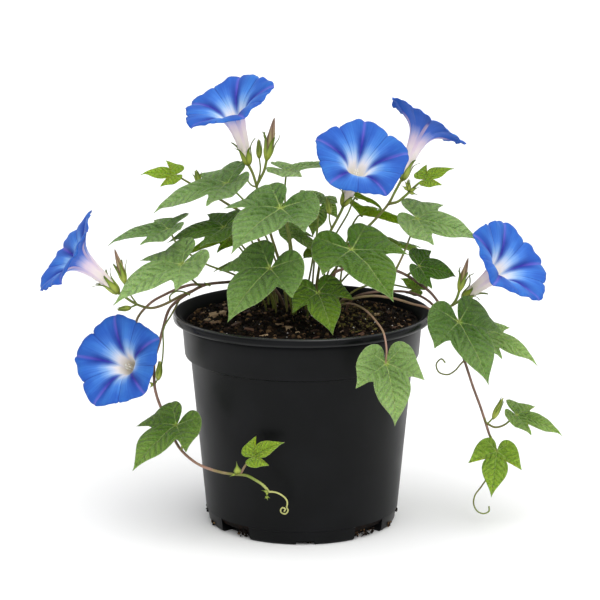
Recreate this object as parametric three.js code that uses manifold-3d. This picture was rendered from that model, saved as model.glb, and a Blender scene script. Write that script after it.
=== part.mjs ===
// A morning glory vine (Ipomoea) growing in a round nursery pot.
// Millimetres, +Z up. The origin is the centre of the pot's flat underside, and -Y is the front.
// Each leaf is one body with its petiole, each vine one body with its tendrils, buds and calyxes,
// and each corolla one thin funnel that sits in the calyx at the end of its stalk.
import * as THREE from 'three';
import { mergeVertices } from 'three/addons/utils/BufferGeometryUtils.js';
import Module from 'manifold-3d';

const wasm = await Module();
wasm.setup();

// ---- driving dimensions -------------------------------------------------------------------

const GAP = 0.3; // clearance kept between pieces that touch
const ROUND_SIDES = 32; // flat sides of the pot and of the soil

const POT_HEIGHT = 167;
const LIP_RADIUS = 100;
const LIP_DEPTH = 6.5; // height of the rolled lip
const COLLAR_TOP_RADIUS = 93;
const COLLAR_BOTTOM_RADIUS = 91;
const COLLAR_BOTTOM = 134; // height of the step under the collar
const BODY_TOP_RADIUS = 86.6;
const BODY_TOP = 131;
const FOOT_RADIUS = 75.2;
const FOOT_TOP = 10;
const BASE_RADIUS = 71.6; // the flat underside that the pot stands on
const WALL = 1.6;
const FLOOR = 6;
// Drain slots at the foot, tall and low in turn: the first one's angle, height, width and reach.
const SLOTS = [
  { turn: 45, height: 11.5, width: 30, inner: 62, outer: 80 },
  { turn: 2, height: 3, width: 14, inner: 66, outer: 80 },
];

const SOIL_EDGE = 157; // height of the soil at the wall
const SOIL_CROWN = 5; // rise of the soil to the middle
const SOIL_LUMP = 1.1; // height of the soil's lumps

const BLADE_THICKNESS = 0.8;
const BLADE_ARCH = 0.25; // rise of the midrib between junction and tip, over the blade's length
const BLADE_DROOP = 0.12; // fall of the side lobes
const BLADE_CUP = 0.25; // rise of the basal lobes behind the junction
const BLADE_LOBE = 0.61; // half width of the drawn outline at its side lobes
const PETIOLE_RADIUS = 0.8;
const PETIOLE_SEAT = 2.5; // length of petiole under the blade
const VINE_RADIUS = 1.1;
const STALK_RADIUS = 1.0;
const TENDRIL_RADIUS = 0.65;

const BUD_CUP = 4; // radius of the bud that a full-sized calyx holds
const COROLLA_WALL = 0.8;
const COROLLA_SIDES = 15; // three to each of the five petals
const PENTAGON = 0.55; // how far the margin goes from round, 0, to straight-sided, 1
const SEPAL = { count: 5, length: 14, radius: 2.1, thickness: 0.45, spread: 18, seat: 4.3 };

// ---- materials ----------------------------------------------------------------------------

function material(color, roughness) {
  return new THREE.MeshStandardMaterial({ color, roughness, metalness: 0 });
}
const potPlastic = material('#232426', 0.5);
const pottingSoil = material('#3a2a20', 1);
const matureLeaf = material('#5f8a4a', 0.6);
const youngLeaf = material('#7fae2e', 0.55);
const vineBark = material('#6a4f40', 0.7);
const petal = material('#3f6fd0', 0.6);

// ---- solids -------------------------------------------------------------------------------

// Makes a closed geometry into a solid with its faces pointing out.
function solid(geometry) {
  geometry.deleteAttribute('normal');
  geometry.deleteAttribute('uv');
  const merged = mergeVertices(geometry, 1e-3);
  const vertProperties = new Float32Array(merged.attributes.position.array);
  const triVerts = new Uint32Array(merged.index.array);
  const at = (i) => new THREE.Vector3().fromArray(vertProperties, 3 * i);
  let volume = 0;
  for (let i = 0; i < triVerts.length; i += 3) {
    volume += at(triVerts[i]).dot(at(triVerts[i + 1]).cross(at(triVerts[i + 2])));
  }
  if (volume < 0) {
    triVerts.reverse();
  }
  return new wasm.Manifold(new wasm.Mesh({ numProp: 3, vertProperties, triVerts }));
}

function joined(solids) {
  return solids.reduce((whole, piece) => whole.add(piece));
}

function node(name, body, look) {
  const data = body.getMesh();
  const geometry = new THREE.BufferGeometry();
  geometry.setAttribute('position', new THREE.BufferAttribute(data.vertProperties, 3));
  geometry.setIndex(new THREE.BufferAttribute(data.triVerts, 1));
  geometry.computeVertexNormals();
  const mesh = new THREE.Mesh(geometry, look);
  mesh.name = name;
  return mesh;
}

function vector(point) {
  return new THREE.Vector3(...point);
}

// A round rod through the points, closed at both ends.
function rod(points, radius, step = 10, sides = 5) {
  const path = new THREE.CatmullRomCurve3(points.map(vector), false, 'centripetal');
  const corners = [...Array(sides).keys()].map((i) => 2 * Math.PI * i / sides);
  const section = corners.map((a) => new THREE.Vector2(radius * Math.cos(a), radius * Math.sin(a)));
  const steps = Math.max(points.length, Math.round(path.getLength() / step));
  const geometry = new THREE.ExtrudeGeometry(new THREE.Shape(section), { steps, extrudePath: path });
  return solid(geometry);
}

// A body of revolution about +Z, from a profile of [radius, height] pairs.
function turned(profile, sides) {
  return new THREE.LatheGeometry(profile.map(([r, z]) => new THREE.Vector2(r, z)), sides)
    .rotateX(Math.PI / 2);
}

function turnTo(direction) {
  const up = new THREE.Vector3(0, 0, 1);
  return new THREE.Quaternion().setFromUnitVectors(up, direction.clone().normalize());
}

// Turns +Z to the direction `facing` and moves the origin to `base`.
function placed(geometry, base, facing) {
  return geometry.applyQuaternion(turnTo(vector(facing))).translate(...base);
}

// ---- pot and soil -------------------------------------------------------------------------

function potBody() {
  const outer = [
    [0, 0], [BASE_RADIUS, 0], [BASE_RADIUS + 1.8, 1.8], [FOOT_RADIUS, FOOT_TOP],
    [BODY_TOP_RADIUS, BODY_TOP], [COLLAR_BOTTOM_RADIUS, COLLAR_BOTTOM],
    [COLLAR_TOP_RADIUS, POT_HEIGHT - LIP_DEPTH - 1.5], [LIP_RADIUS - 1, POT_HEIGHT - LIP_DEPTH],
    [LIP_RADIUS, POT_HEIGHT - LIP_DEPTH + 1.5], [LIP_RADIUS, POT_HEIGHT - 1.2],
    [LIP_RADIUS - 1.4, POT_HEIGHT],
  ];
  const inner = [
    [LIP_RADIUS - 4.5, POT_HEIGHT], [COLLAR_TOP_RADIUS + 0.6, POT_HEIGHT - 2],
    [COLLAR_TOP_RADIUS - WALL, POT_HEIGHT - LIP_DEPTH - 2],
    [COLLAR_BOTTOM_RADIUS - WALL, COLLAR_BOTTOM + 0.8], [BODY_TOP_RADIUS - WALL, BODY_TOP + 0.4],
    [FOOT_RADIUS - WALL, FOOT_TOP], [BASE_RADIUS - 0.5, FLOOR], [0, FLOOR],
  ];
  let pot = solid(turned([...outer, ...inner], ROUND_SIDES));
  for (const { turn, height, width, inner: near, outer: far } of SLOTS) {
    for (let i = 0; i < 4; i += 1) {
      const slot = new THREE.BoxGeometry(far - near, width, height + 1)
        .translate((near + far) / 2, 0, (height - 1) / 2)
        .rotateZ(THREE.MathUtils.degToRad(turn) + i * Math.PI / 2);
      pot = pot.subtract(solid(slot));
    }
  }
  return pot;
}

// Height of the soil above its edge, at a distance from the axis and at an angle.
function soilRise(radius, x, y) {
  const crown = SOIL_CROWN * Math.cos(Math.PI / 2 * Math.min(1, radius / COLLAR_TOP_RADIUS));
  const lumps = Math.sin(0.21 * x + 1) * Math.cos(0.17 * y) + Math.sin(0.13 * x - 0.24 * y);
  return crown + SOIL_LUMP * lumps * 0.5;
}

function soilBody(holes) {
  const side = [
    [0, FLOOR + GAP], [BASE_RADIUS - 0.5 - GAP, FLOOR + GAP],
    [FOOT_RADIUS - WALL - GAP, FOOT_TOP + GAP], [BODY_TOP_RADIUS - WALL - GAP, BODY_TOP + 0.4 + GAP],
    [COLLAR_BOTTOM_RADIUS - WALL - GAP, COLLAR_BOTTOM + 0.8 + GAP], [90.2, SOIL_EDGE],
  ];
  const top = [78, 56, 36, 18].map((radius) => [radius, SOIL_EDGE]);
  const geometry = turned([...side, ...top, [0, SOIL_EDGE]], ROUND_SIDES);
  const place = geometry.attributes.position;
  for (let i = 0; i < place.count; i += 1) {
    const [x, y] = [place.getX(i), place.getY(i)];
    const radius = Math.hypot(x, y);
    if (place.getZ(i) > SOIL_EDGE - 1 && radius < 85) {
      place.setZ(i, SOIL_EDGE + soilRise(radius, x, y));
    }
  }
  return holes.reduce((soil, hole) => soil.subtract(hole), solid(geometry));
}

// ---- leaves -------------------------------------------------------------------------------

// Half of a blade's outline, one unit from the petiole's junction at 0,0 to the tip at 1,0:
// the basal lobe, the side lobe's point, the notch beside it and the long middle lobe.
const BLADE_HALF = [
  [0, 0], [-0.18, 0.07], [-0.3, 0.2], [-0.26, 0.38], [0, 0.53], [0.32, BLADE_LOBE],
  [0.27, 0.34], [0.48, 0.3], [0.7, 0.2], [0.87, 0.08], [1, 0],
];
const BLADE_CENTRE = [0.12, 0]; // every point of the outline can be seen from here

// The directions along the midrib, to the leaf's left, and out of its upper face.
function leafAxes({ junction, tip, roll }) {
  const along = vector(tip).sub(vector(junction)).normalize();
  const left = new THREE.Vector3(0, 0, 1).cross(along).normalize();
  left.applyAxisAngle(along, THREE.MathUtils.degToRad(roll));
  return [along, left, along.clone().cross(left)];
}

function blade(leaf) {
  const length = vector(leaf.tip).distanceTo(vector(leaf.junction));
  const widen = leaf.width / BLADE_LOBE;
  const far = BLADE_HALF.slice(1, -1).map(([x, y]) => [x, -y]).reverse();
  const outline = [...BLADE_HALF, ...far, BLADE_CENTRE];
  const place = new THREE.Matrix4().makeBasis(...leafAxes(leaf)).setPosition(...leaf.junction);
  const corners = [1, -1].flatMap((side) => outline.map(([x, y]) => {
    const along = x > 0 ? BLADE_ARCH * x * (1 - x) : -BLADE_CUP * x;
    const height = along - BLADE_DROOP * y * y;
    const lift = height * length + side * BLADE_THICKNESS / 2;
    return new THREE.Vector3(x * length, y * widen * length, lift).applyMatrix4(place);
  }));
  const around = outline.length - 1;
  const under = outline.length; // the lower face's points follow the upper face's
  const index = [];
  for (let i = 0; i < around; i += 1) {
    const next = (i + 1) % around;
    index.push(around, next, i, under + around, under + i, under + next);
    index.push(i, next, under + i, next, under + next, under + i);
  }
  const geometry = new THREE.BufferGeometry().setFromPoints(corners);
  geometry.setIndex(index);
  return solid(geometry);
}

// The petiole runs on a little way into the blade, so that the two are one body.
function petiole(leaf, radius) {
  const [along, , up] = leafAxes(leaf);
  const seat = vector(leaf.junction).addScaledVector(along, PETIOLE_SEAT)
    .addScaledVector(up, BLADE_THICKNESS / 2).toArray();
  return rod([...leaf.petiole, leaf.junction, seat], radius, 13, 4);
}

function leafBody(leaf) {
  return blade(leaf).add(petiole(leaf, PETIOLE_RADIUS));
}

// ---- flowers and buds ---------------------------------------------------------------------

// Outside of a corolla from its foot to its margin, as [radius, height].
const FUNNEL = [[3.6, 1], [4.6, 12], [6.6, 26], [9.5, 35], [16, 42], [26, 46.5], [36, 49]];
const FUNNEL_HEIGHT = 49;

// The line up the middle of a corolla, from its foot round to the way its margin looks.
function corollaAxis({ base, centre, facing }) {
  const [from, to] = [vector(base), vector(centre)];
  const bend = to.clone().addScaledVector(vector(facing).normalize(), -from.distanceTo(to) / 2);
  return new THREE.QuadraticBezierCurve3(from, bend, to);
}

function corolla(flower) {
  const inside = FUNNEL.slice(2).reverse().map(([r, z]) => [r - COROLLA_WALL * 0.6, z + 0.5]);
  const style = [[1.2, 4], [1, 26], [0, 30]];
  const geometry = turned([[0, GAP], [3, GAP], ...FUNNEL, ...inside, ...style], COROLLA_SIDES)
    .rotateZ(THREE.MathUtils.degToRad(flower.spin));
  const axis = corollaAxis(flower);
  const place = geometry.attributes.position;
  for (let i = 0; i < place.count; i += 1) {
    const point = new THREE.Vector3().fromBufferAttribute(place, i);
    const share = point.z / FUNNEL_HEIGHT;
    const radius = Math.hypot(point.x, point.y);
    const turn = Math.atan2(point.y, point.x) - THREE.MathUtils.degToRad(flower.spin);
    const petal = 2 * Math.PI / 5;
    const toSeam = Math.abs(THREE.MathUtils.euclideanModulo(turn, petal) - petal / 2);
    const straight = Math.cos(petal / 2) / Math.cos(toSeam) - 0.905;
    const star = 1 + PENTAGON * straight * Math.max(0, radius - 12) / 24;
    point.z = 0;
    point.multiplyScalar(star * (flower.size ?? 1) ** share);
    point.applyQuaternion(turnTo(axis.getTangent(Math.min(1, share)))).add(axis.getPoint(share));
    place.setXYZ(i, point.x, point.y, point.z);
  }
  return solid(geometry);
}

// The green cup and the pointed sepals at the foot of a flower or a bud.
function calyx({ base, facing, size = 1, sepals = SEPAL.count }) {
  const profile = [[0, -6], [1.4, -5], [4.2, -1.6], [3.9, 0], [0, 0]];
  const cup = turned(profile, 6).scale(size, size, size);
  const pieces = [solid(placed(cup, base, facing))];
  for (let i = 0; i < sepals; i += 1) {
    const sepal = new THREE.ConeGeometry(SEPAL.radius, SEPAL.length, 3)
      .rotateX(Math.PI / 2)
      .scale(1, SEPAL.thickness, 1)
      .translate(0, 0, SEPAL.length / 2 - 1.5)
      .rotateX(-THREE.MathUtils.degToRad(SEPAL.spread))
      .translate(0, SEPAL.seat, -1.2)
      .rotateZ(i * 2 * Math.PI / sepals)
      .scale(size, size, size);
    pieces.push(solid(placed(sepal, base, facing)));
  }
  return joined(pieces);
}

function flowerCalyx(flower) {
  return calyx({ base: flower.base, facing: corollaAxis(flower).getTangent(0).toArray() });
}

// A closed bud from its foot to its pointed tip, with its sepals.
function bud(foot, tip, radius) {
  const facing = vector(tip).sub(vector(foot)).toArray();
  const length = vector(facing).length();
  const shape = [[0, -1.5], [0.45, 0], [1, 0.25], [0.8, 0.6], [0.25, 0.9], [0, 1]];
  const profile = shape.map(([r, z], i) => [r * radius, i ? z * length : z]);
  const body = solid(placed(turned(profile, 5), foot, facing));
  return body.add(calyx({ base: foot, facing, size: radius / BUD_CUP, sepals: 3 }));
}

// ---- where everything grows ---------------------------------------------------------------

// Flowers: the foot of the corolla, the middle of its margin, the way the margin looks, its
// turn about that way, and its width against a full-sized one.
const FLOWERS = {
  top_left: { base: [-42, 5, 284], centre: [-57, -8, 332], facing: [-0.35, -0.32, 0.88], spin: 0 },
  top_centre: { base: [33, 4, 252], centre: [45, -22, 291], facing: [0.15, -0.67, 0.73], spin: 16 },
  top_right: { base: [79, 20, 270], centre: [98, 32, 310], facing: [0.53, 0.23, 0.82], spin: 54,
    size: 0.93 },
  left: { base: [-143, -25, 189], centre: [-179, -31, 220], facing: [-0.82, -0.13, 0.55], spin: 33 },
  right: { base: [127, -6, 180], centre: [160, -30, 213], facing: [0.61, -0.48, 0.64], spin: 38 },
  lower_left: { base: [-122, -12, 117], centre: [-141, -50, 139], facing: [-0.43, -0.8, 0.42],
    spin: 8 },
};

// Stems: every run is a rod's route, with its radius and step where they differ from a stalk's.
// What grows fused to the stem follows in `bears`.
const STEMS = {
  stem_top_left: {
    runs: [
      { radius: VINE_RADIUS, route: [[-12, 16, 140], [-12, 14, 165], [-15, 6, 196], [-20, 3, 213],
        [-26, 4, 232], [-32, 5, 249], [-35, 5, 264], [-38, 5, 274], [-41, 5, 280]] },
      { route: [[-35, 5, 264], [-29, 3, 276], [-27, 2, 285]] },
      { radius: TENDRIL_RADIUS, route: [[-34, 5, 266], [-32, 9, 276], [-33, 10, 286]] },
    ],
    bears: () => [
      flowerCalyx(FLOWERS.top_left),
      bud([-27, 2, 285], [-21, 0, 317], 3.6),
      bud([-33, 10, 286], [-33, 12, 299], 1.9),
    ],
  },
  stem_shoot_left: {
    runs: [
      { route: [[-20, 26, 140], [-21, 24, 168], [-26, 14, 199], [-34, 12, 221], [-45, 14, 240],
        [-57, 17, 247], [-66, 20, 252], [-77, 24, 257], [-86, 24, 262]] },
      { radius: TENDRIL_RADIUS, route: [[-77, 24, 257], [-80, 19, 264]] },
    ],
    bears: () => [bud([-80, 19, 264], [-82, 18, 274], 1.6)],
  },
  stem_top_centre: {
    runs: [
      { radius: VINE_RADIUS, route: [[10, 18, 140], [10, 16, 165], [13, 6, 197], [17, 0, 216],
        [22, -3, 230], [26, -1, 237], [30, 3, 244], [32, 6, 248]] },
      { radius: TENDRIL_RADIUS, route: [[23, -3, 231], [21, -8, 240], [21, -10, 246]] },
    ],
    bears: () => [
      flowerCalyx(FLOWERS.top_centre),
      bud([21, -10, 246], [19, -13, 258], 1.9),
    ],
  },
  stem_top_right: {
    runs: [
      { radius: VINE_RADIUS, route: [[22, 30, 140], [22, 28, 168], [29, 16, 203], [41, 14, 220],
        [55, 14, 234], [67, 15, 248], [72, 17, 257], [77, 19, 266]] },
      { route: [[67, 15, 248], [74, 13, 250], [80, 12, 255], [86, 11, 261]] },
      { radius: TENDRIL_RADIUS, route: [[83, 12, 258], [82, 12, 260]] },
    ],
    bears: () => [
      flowerCalyx(FLOWERS.top_right),
      bud([82, 12, 260], [81, 11, 270], 1.6),
    ],
  },
  vine_right: {
    runs: [
      { radius: VINE_RADIUS, route: [[16, 6, 140], [16, 4, 165], [18, -8, 190], [26, -13, 200],
        [37, -12, 203], [54, -10, 203], [72, -8, 200], [81, -8, 196], [90, -8, 190], [99, -9, 183],
        [106, -10, 174], [115, -6, 157], [122, -5, 140], [127, -6, 126], [133, -8, 108],
        [139, -10, 92], [143, -12, 80], [146, -16, 71], [150, -20, 63]] },
      { route: [[108, -10, 170], [113, -11, 172], [118, -9, 174], [124, -4, 177]] },
      { route: [[116, -10, 173], [119, -13, 179], [121, -14, 186]] },
      { radius: TENDRIL_RADIUS, step: 3, route: [[126, -6, 128], [123, -9, 126], [119, -12, 122],
        [113, -14, 119], [106, -14, 121], [104, -13, 127], [108, -12, 131], [111, -12, 128]] },
      { radius: TENDRIL_RADIUS, route: [[142, -11, 84], [144, -14, 80], [149, -15, 85]] },
      { radius: TENDRIL_RADIUS, step: 4, route: [[150, -20, 63], [150, -17, 52], [146, -19, 40],
        [140, -21, 31], [135, -22, 24], [134, -22, 17], [137, -22, 11], [142, -22, 9],
        [146, -22, 11], [146, -22, 15]] },
    ],
    bears: () => [
      flowerCalyx(FLOWERS.right),
      bud([121, -14, 186], [127, -19, 212], 2.8),
      bud([149, -15, 85], [156, -16, 101], 2),
    ],
  },
  vine_right_low: {
    runs: [
      { route: [[26, 2, 140], [27, -2, 165], [31, -14, 178], [38, -24, 181], [46, -25, 183],
        [57, -22, 183], [71, -18, 180], [85, -14, 175], [97, -11, 171], [105, -9, 165],
        [108, -14, 152]] },
    ],
  },
  vine_right_back: {
    runs: [
      { route: [[34, 12, 140], [35, 10, 166], [41, 5, 176], [54, 5, 180], [68, 9, 180],
        [82, 11, 179], [93, 8, 176], [102, 4, 170], [108, 2, 160], [110, 3, 146]] },
    ],
  },
  vine_left: {
    runs: [
      { radius: VINE_RADIUS, route: [[-14, 30, 140], [-15, 30, 166], [-24, 27, 180], [-40, 20, 186],
        [-59, 10, 187], [-75, 0, 187], [-85, -5, 183], [-94, -9, 178], [-102, -14, 171],
        [-107, -20, 156], [-110, -25, 145], [-113, -30, 135], [-113, -34, 116], [-112, -31, 108],
        [-110, -28, 100], [-107, -27, 92], [-103, -32, 83], [-98, -41, 75], [-92, -52, 69],
        [-81, -64, 63], [-72, -72, 61], [-61, -80, 60], [-52, -85, 60], [-41, -89, 60],
        [-35, -90, 57], [-30, -91, 54], [-27, -91, 51], [-25, -91, 48]] },
      { radius: TENDRIL_RADIUS, step: 3, route: [[-25, -91, 48], [-22, -91, 48], [-18, -91, 47],
        [-14, -91, 44.5], [-11.5, -91, 41.5], [-11, -91, 38.5], [-11.5, -91, 36], [-10.5, -90, 33],
        [-12.5, -90, 30.5], [-15.5, -90, 31.5], [-16, -91, 34], [-14.5, -92, 36],
        [-12.5, -92.5, 35], [-13.5, -92.5, 33]] },
      { radius: TENDRIL_RADIUS, route: [[-94, -9, 178], [-100, -18, 168], [-106, -26, 158],
        [-106, -31, 146], [-107, -33, 134], [-110, -35, 122], [-113, -34, 116]] },
      { radius: TENDRIL_RADIUS, route: [[-101, -19, 178], [-101, -22, 183], [-97, -20, 186],
        [-91, -16, 185], [-86, -14, 182]] },
      { route: [[-75, 0, 187], [-85, 1, 187], [-96, 0, 184], [-106, -3, 180], [-117, -6, 174],
        [-128, -4, 160], [-128, 2, 141], [-123, 0, 126], [-120, -8, 117]] },
      { route: [[-85, -5, 183], [-94, -14, 181], [-101, -19, 178], [-109, -22, 175],
        [-116, -24, 174], [-126, -25, 177], [-134, -25, 182], [-139, -24, 186]] },
      { radius: TENDRIL_RADIUS, route: [[-126, -25, 177], [-132, -27, 187], [-135, -28, 195]] },
      { radius: TENDRIL_RADIUS, step: 3, route: [[-126, -25, 177], [-132, -28, 175]] },
    ],
    bears: () => [
      flowerCalyx(FLOWERS.left),
      flowerCalyx(FLOWERS.lower_left),
      bud([-110, -37, 122], [-108, -38, 136], 2.1),
      bud([-135, -28, 195], [-142, -30, 221], 2.8),
      bud([-132, -28, 175], [-141, -29, 174], 1.7),
    ],
  },
};

// Leaves: junction with the petiole, tip, roll of the blade about its midrib in degrees, half
// width over length, and the petiole's route up from the soil or from the vine that bears it.
const LEAVES = {
  leaf_left_top: { junction: [-58, 0, 267], tip: [-114, -5, 245], roll: -15, width: 0.5,
    petiole: [[-12, 8, 140], [-12, 6, 170], [-22, -6, 212], [-38, -4, 246], [-50, 0, 259]] },
  leaf_left_mid: { junction: [-102, -15, 234], tip: [-150, -5, 220], roll: -12, width: 0.5,
    petiole: [[-28, 14, 140], [-29, 10, 170], [-48, -6, 194], [-76, -16, 208], [-96, -11, 222]] },
  leaf_left_inner: { junction: [-60, -12, 235], tip: [-104, -2, 221], roll: -22, width: 0.5,
    petiole: [[-20, 8, 140], [-21, 4, 170], [-34, -10, 200], [-50, -14, 222]] },
  leaf_centre_left: { junction: [-16, -40, 255], tip: [-52, -90, 230], roll: -10, width: 0.55,
    petiole: [[-5, 2, 140], [-5, -2, 170], [-8, -14, 205], [-12, -30, 240]] },
  leaf_left_low: { junction: [-91, -40, 212], tip: [-142, -62, 185], roll: -12, width: 0.52,
    on: 'vine_left', petiole: [[-78, -1, 186], [-82, -14, 192], [-88, -28, 202]] },
  leaf_front_left: { junction: [-24, -60, 213], tip: [-55, -98, 181], roll: -14, width: 0.56,
    petiole: [[-6, -6, 140], [-7, -10, 165], [-12, -26, 190], [-20, -46, 206]] },
  leaf_top: { junction: [-11, 5, 276], tip: [34, -5, 279], roll: 7, width: 0.45,
    petiole: [[-4, 22, 140], [-4, 20, 170], [-8, 8, 215], [-13, 6, 250]] },
  leaf_centre_back: { junction: [12, 5, 250], tip: [1, 46, 253], roll: 0, width: 0.44,
    petiole: [[3, 16, 140], [3, 14, 170], [8, 2, 205], [12, 0, 232]] },
  leaf_right_top: { junction: [89, 5, 238], tip: [137, 3, 222], roll: 30, width: 0.5,
    on: 'vine_right', petiole: [[72, -8, 200], [78, -4, 212], [84, 2, 226]] },
  leaf_centre_right: { junction: [37, -50, 225], tip: [67, -101, 196], roll: 8, width: 0.56,
    petiole: [[12, 2, 140], [13, -2, 168], [20, -22, 196], [30, -40, 214]] },
  leaf_right_mid: { junction: [90, -10, 204], tip: [119, -3, 194], roll: 40, width: 0.62,
    on: 'vine_right', petiole: [[81, -8, 196], [85, -10, 200]] },
  leaf_front_centre: { junction: [12, -60, 194], tip: [23, -88, 168], roll: 12, width: 0.6,
    petiole: [[4, -8, 140], [4, -12, 163], [7, -34, 180], [11, -52, 191]] },
  leaf_over_rim: { junction: [62, -98, 149], tip: [69, -112, 105], roll: -4, width: 0.64,
    petiole: [[18, -12, 140], [20, -16, 164], [30, -36, 179], [38, -50, 183], [47, -66, 182],
      [54, -82, 178], [60, -95, 171], [62, -101, 160]] },
  leaf_right_low: { junction: [120, -28, 164], tip: [141, -64, 124], roll: 5, width: 0.54,
    on: 'vine_right', petiole: [[106, -10, 174], [110, -17, 173], [116, -24, 169]] },
  leaf_right_behind: { junction: [145, 8, 146], tip: [185, 8, 121], roll: 22, width: 0.5,
    on: 'vine_right', petiole: [[119, -5, 148], [126, 3, 150], [136, 8, 150]] },
  leaf_right_tail: { junction: [167, -15, 87], tip: [203, -15, 70], roll: 20, width: 0.5,
    on: 'vine_right', petiole: [[143, -12, 80], [150, -15, 77], [157, -16, 79]] },
  leaf_right_tip: { junction: [151, -26, 61], tip: [146, -41, 28], roll: -15, width: 0.57,
    on: 'vine_right', petiole: [[146, -16, 71], [149, -22, 66]] },
  leaf_left_under: { junction: [-55, 14, 222], tip: [-90, 6, 209], roll: 38, width: 0.5,
    petiole: [[-26, 34, 140], [-27, 32, 170], [-36, 26, 196], [-48, 18, 216]] },
  leaf_left_inside: { junction: [-42, 2, 204], tip: [-69, 6, 196], roll: -10, width: 0.5,
    petiole: [[-22, 20, 140], [-23, 18, 168], [-32, 8, 190]] },
  leaf_back_right: { junction: [42, 29, 251], tip: [64, 21, 241], roll: -25, width: 0.45,
    petiole: [[16, 38, 140], [16, 37, 170], [22, 34, 210], [36, 29, 238]] },
  leaf_right_edge_on: { junction: [46, 43, 235], tip: [97, 33, 218], roll: -20, width: 0.38,
    petiole: [[28, 32, 140], [29, 33, 170], [34, 42, 205], [40, 45, 226]] },
  leaf_right_inside: { junction: [92, 16, 180], tip: [77, 26, 187], roll: -35, width: 0.5,
    petiole: [[30, 18, 140], [31, 18, 168], [46, 18, 181], [66, 17, 184], [84, 16, 181]] },
  leaf_inside_upper: { junction: [14, 38, 240], tip: [8, 10, 223], roll: 0, width: 0.5,
    petiole: [[8, 44, 140], [8, 44, 170], [11, 46, 210], [13, 42, 232]] },
  leaf_inside_lower: { junction: [-8, 32, 222], tip: [14, 14, 206], roll: 0, width: 0.5,
    petiole: [[-4, 40, 140], [-4, 40, 170], [-8, 38, 200]] },
  leaf_back_left: { junction: [-46, 44, 226], tip: [-70, 92, 208], roll: 5, width: 0.55,
    petiole: [[-20, 38, 140], [-20, 38, 170], [-30, 40, 196], [-40, 42, 214]] },
  leaf_back: { junction: [-8, 62, 232], tip: [-14, 112, 210], roll: 0, width: 0.55,
    petiole: [[-10, 46, 140], [-10, 46, 170], [-10, 50, 200], [-9, 58, 222]] },
  leaf_back_low: { junction: [26, 58, 200], tip: [36, 104, 176], roll: -5, width: 0.55,
    petiole: [[14, 46, 140], [14, 46, 168], [20, 50, 184]] },
  leaf_back_far_right: { junction: [64, 44, 212], tip: [96, 74, 194], roll: -5, width: 0.55,
    petiole: [[24, 42, 140], [25, 42, 170], [40, 44, 190], [56, 44, 204]] },
  young_leaf_left: { junction: [-98, 22, 270], tip: [-126, 27, 269], roll: -35, width: 0.5,
    on: 'stem_shoot_left', petiole: [[-86, 24, 262], [-92, 22, 266]] },
  young_leaf_right: { junction: [94, 10, 268], tip: [118, 18, 276], roll: 30, width: 0.5,
    on: 'stem_top_right', petiole: [[86, 11, 261], [90, 10, 265]] },
  young_leaf_on_pot: { junction: [-37, -90, 75], tip: [-13, -88, 86], roll: 45, width: 0.52,
    on: 'vine_left', petiole: [[-46, -87, 61], [-44, -88, 65], [-41, -89, 70]] },
  leaf_left_tail: { junction: [-96, -50, 89], tip: [-128, -78, 61], roll: -14, width: 0.53,
    on: 'vine_left', petiole: [[-92, -52, 69], [-91, -55, 76], [-93, -54, 84]] },
};

// ---- the plant in its pot -----------------------------------------------------------------

function stemRuns({ runs }, extra = 0) {
  return joined(runs.map(({ route, radius = STALK_RADIUS, step }) => (
    rod(route, radius + extra, step))));
}

const group = new THREE.Group();
const holes = [];

for (const [name, stem] of Object.entries(STEMS)) {
  const bears = stem.bears ? stem.bears() : [];
  group.add(node(name, joined([stemRuns(stem), ...bears]), vineBark));
  holes.push(stemRuns(stem, GAP));
}
for (const [name, leaf] of Object.entries(LEAVES)) {
  let body = leafBody(leaf);
  if (leaf.on) {
    body = body.subtract(stemRuns(STEMS[leaf.on], GAP));
  } else {
    holes.push(petiole(leaf, PETIOLE_RADIUS + GAP));
  }
  group.add(node(name, body, name.startsWith('young') ? youngLeaf : matureLeaf));
}
for (const [name, flower] of Object.entries(FLOWERS)) {
  group.add(node(`corolla_${name}`, corolla(flower), petal));
}
group.add(node('pot', potBody(), potPlastic));
group.add(node('soil', soilBody(holes), pottingSoil));

export default group;
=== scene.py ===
"""A morning glory vine that climbs out of its black nursery pot and trails over the rim.

Everything is in metres, +Z up, with the origin under the middle of the pot and -Y at the front.
Routes and places are written in millimetres and are scaled when a piece is made.
"""
import itertools
import math
import random
from functools import partial
from typing import NamedTuple

import bmesh
import bpy
from mathutils import Matrix, Vector, noise
from mathutils.geometry import interpolate_bezier


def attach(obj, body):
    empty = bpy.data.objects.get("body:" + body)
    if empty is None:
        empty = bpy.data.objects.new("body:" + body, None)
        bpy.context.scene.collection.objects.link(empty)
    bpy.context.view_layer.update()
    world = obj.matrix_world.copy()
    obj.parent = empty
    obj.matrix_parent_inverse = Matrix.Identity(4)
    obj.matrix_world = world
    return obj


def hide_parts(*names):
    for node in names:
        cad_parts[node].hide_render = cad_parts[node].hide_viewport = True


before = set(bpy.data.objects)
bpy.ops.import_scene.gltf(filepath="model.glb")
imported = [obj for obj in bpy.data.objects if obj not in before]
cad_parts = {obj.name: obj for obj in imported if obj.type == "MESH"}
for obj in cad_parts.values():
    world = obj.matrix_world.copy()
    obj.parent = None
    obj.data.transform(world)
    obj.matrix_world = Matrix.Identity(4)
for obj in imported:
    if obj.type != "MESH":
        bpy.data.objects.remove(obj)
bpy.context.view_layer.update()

bl_info = {
    "name": "Morning Glory Pot",
    "version": (1, 0, 0),
    "blender": (4, 5, 0),
    "location": "View3D > Sidebar > Morning Glory",
    "description": "Builds a flowering morning glory vine in a nursery pot",
    "category": "Add Mesh",
}

MM = 0.001
WELD = 1e-6
SPOT = "spot"  # vector attribute: where a point lies on its own leaf, petal or shoot
TINT = "tint"  # vector attribute: how old, how dark and how varied the piece is there


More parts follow.
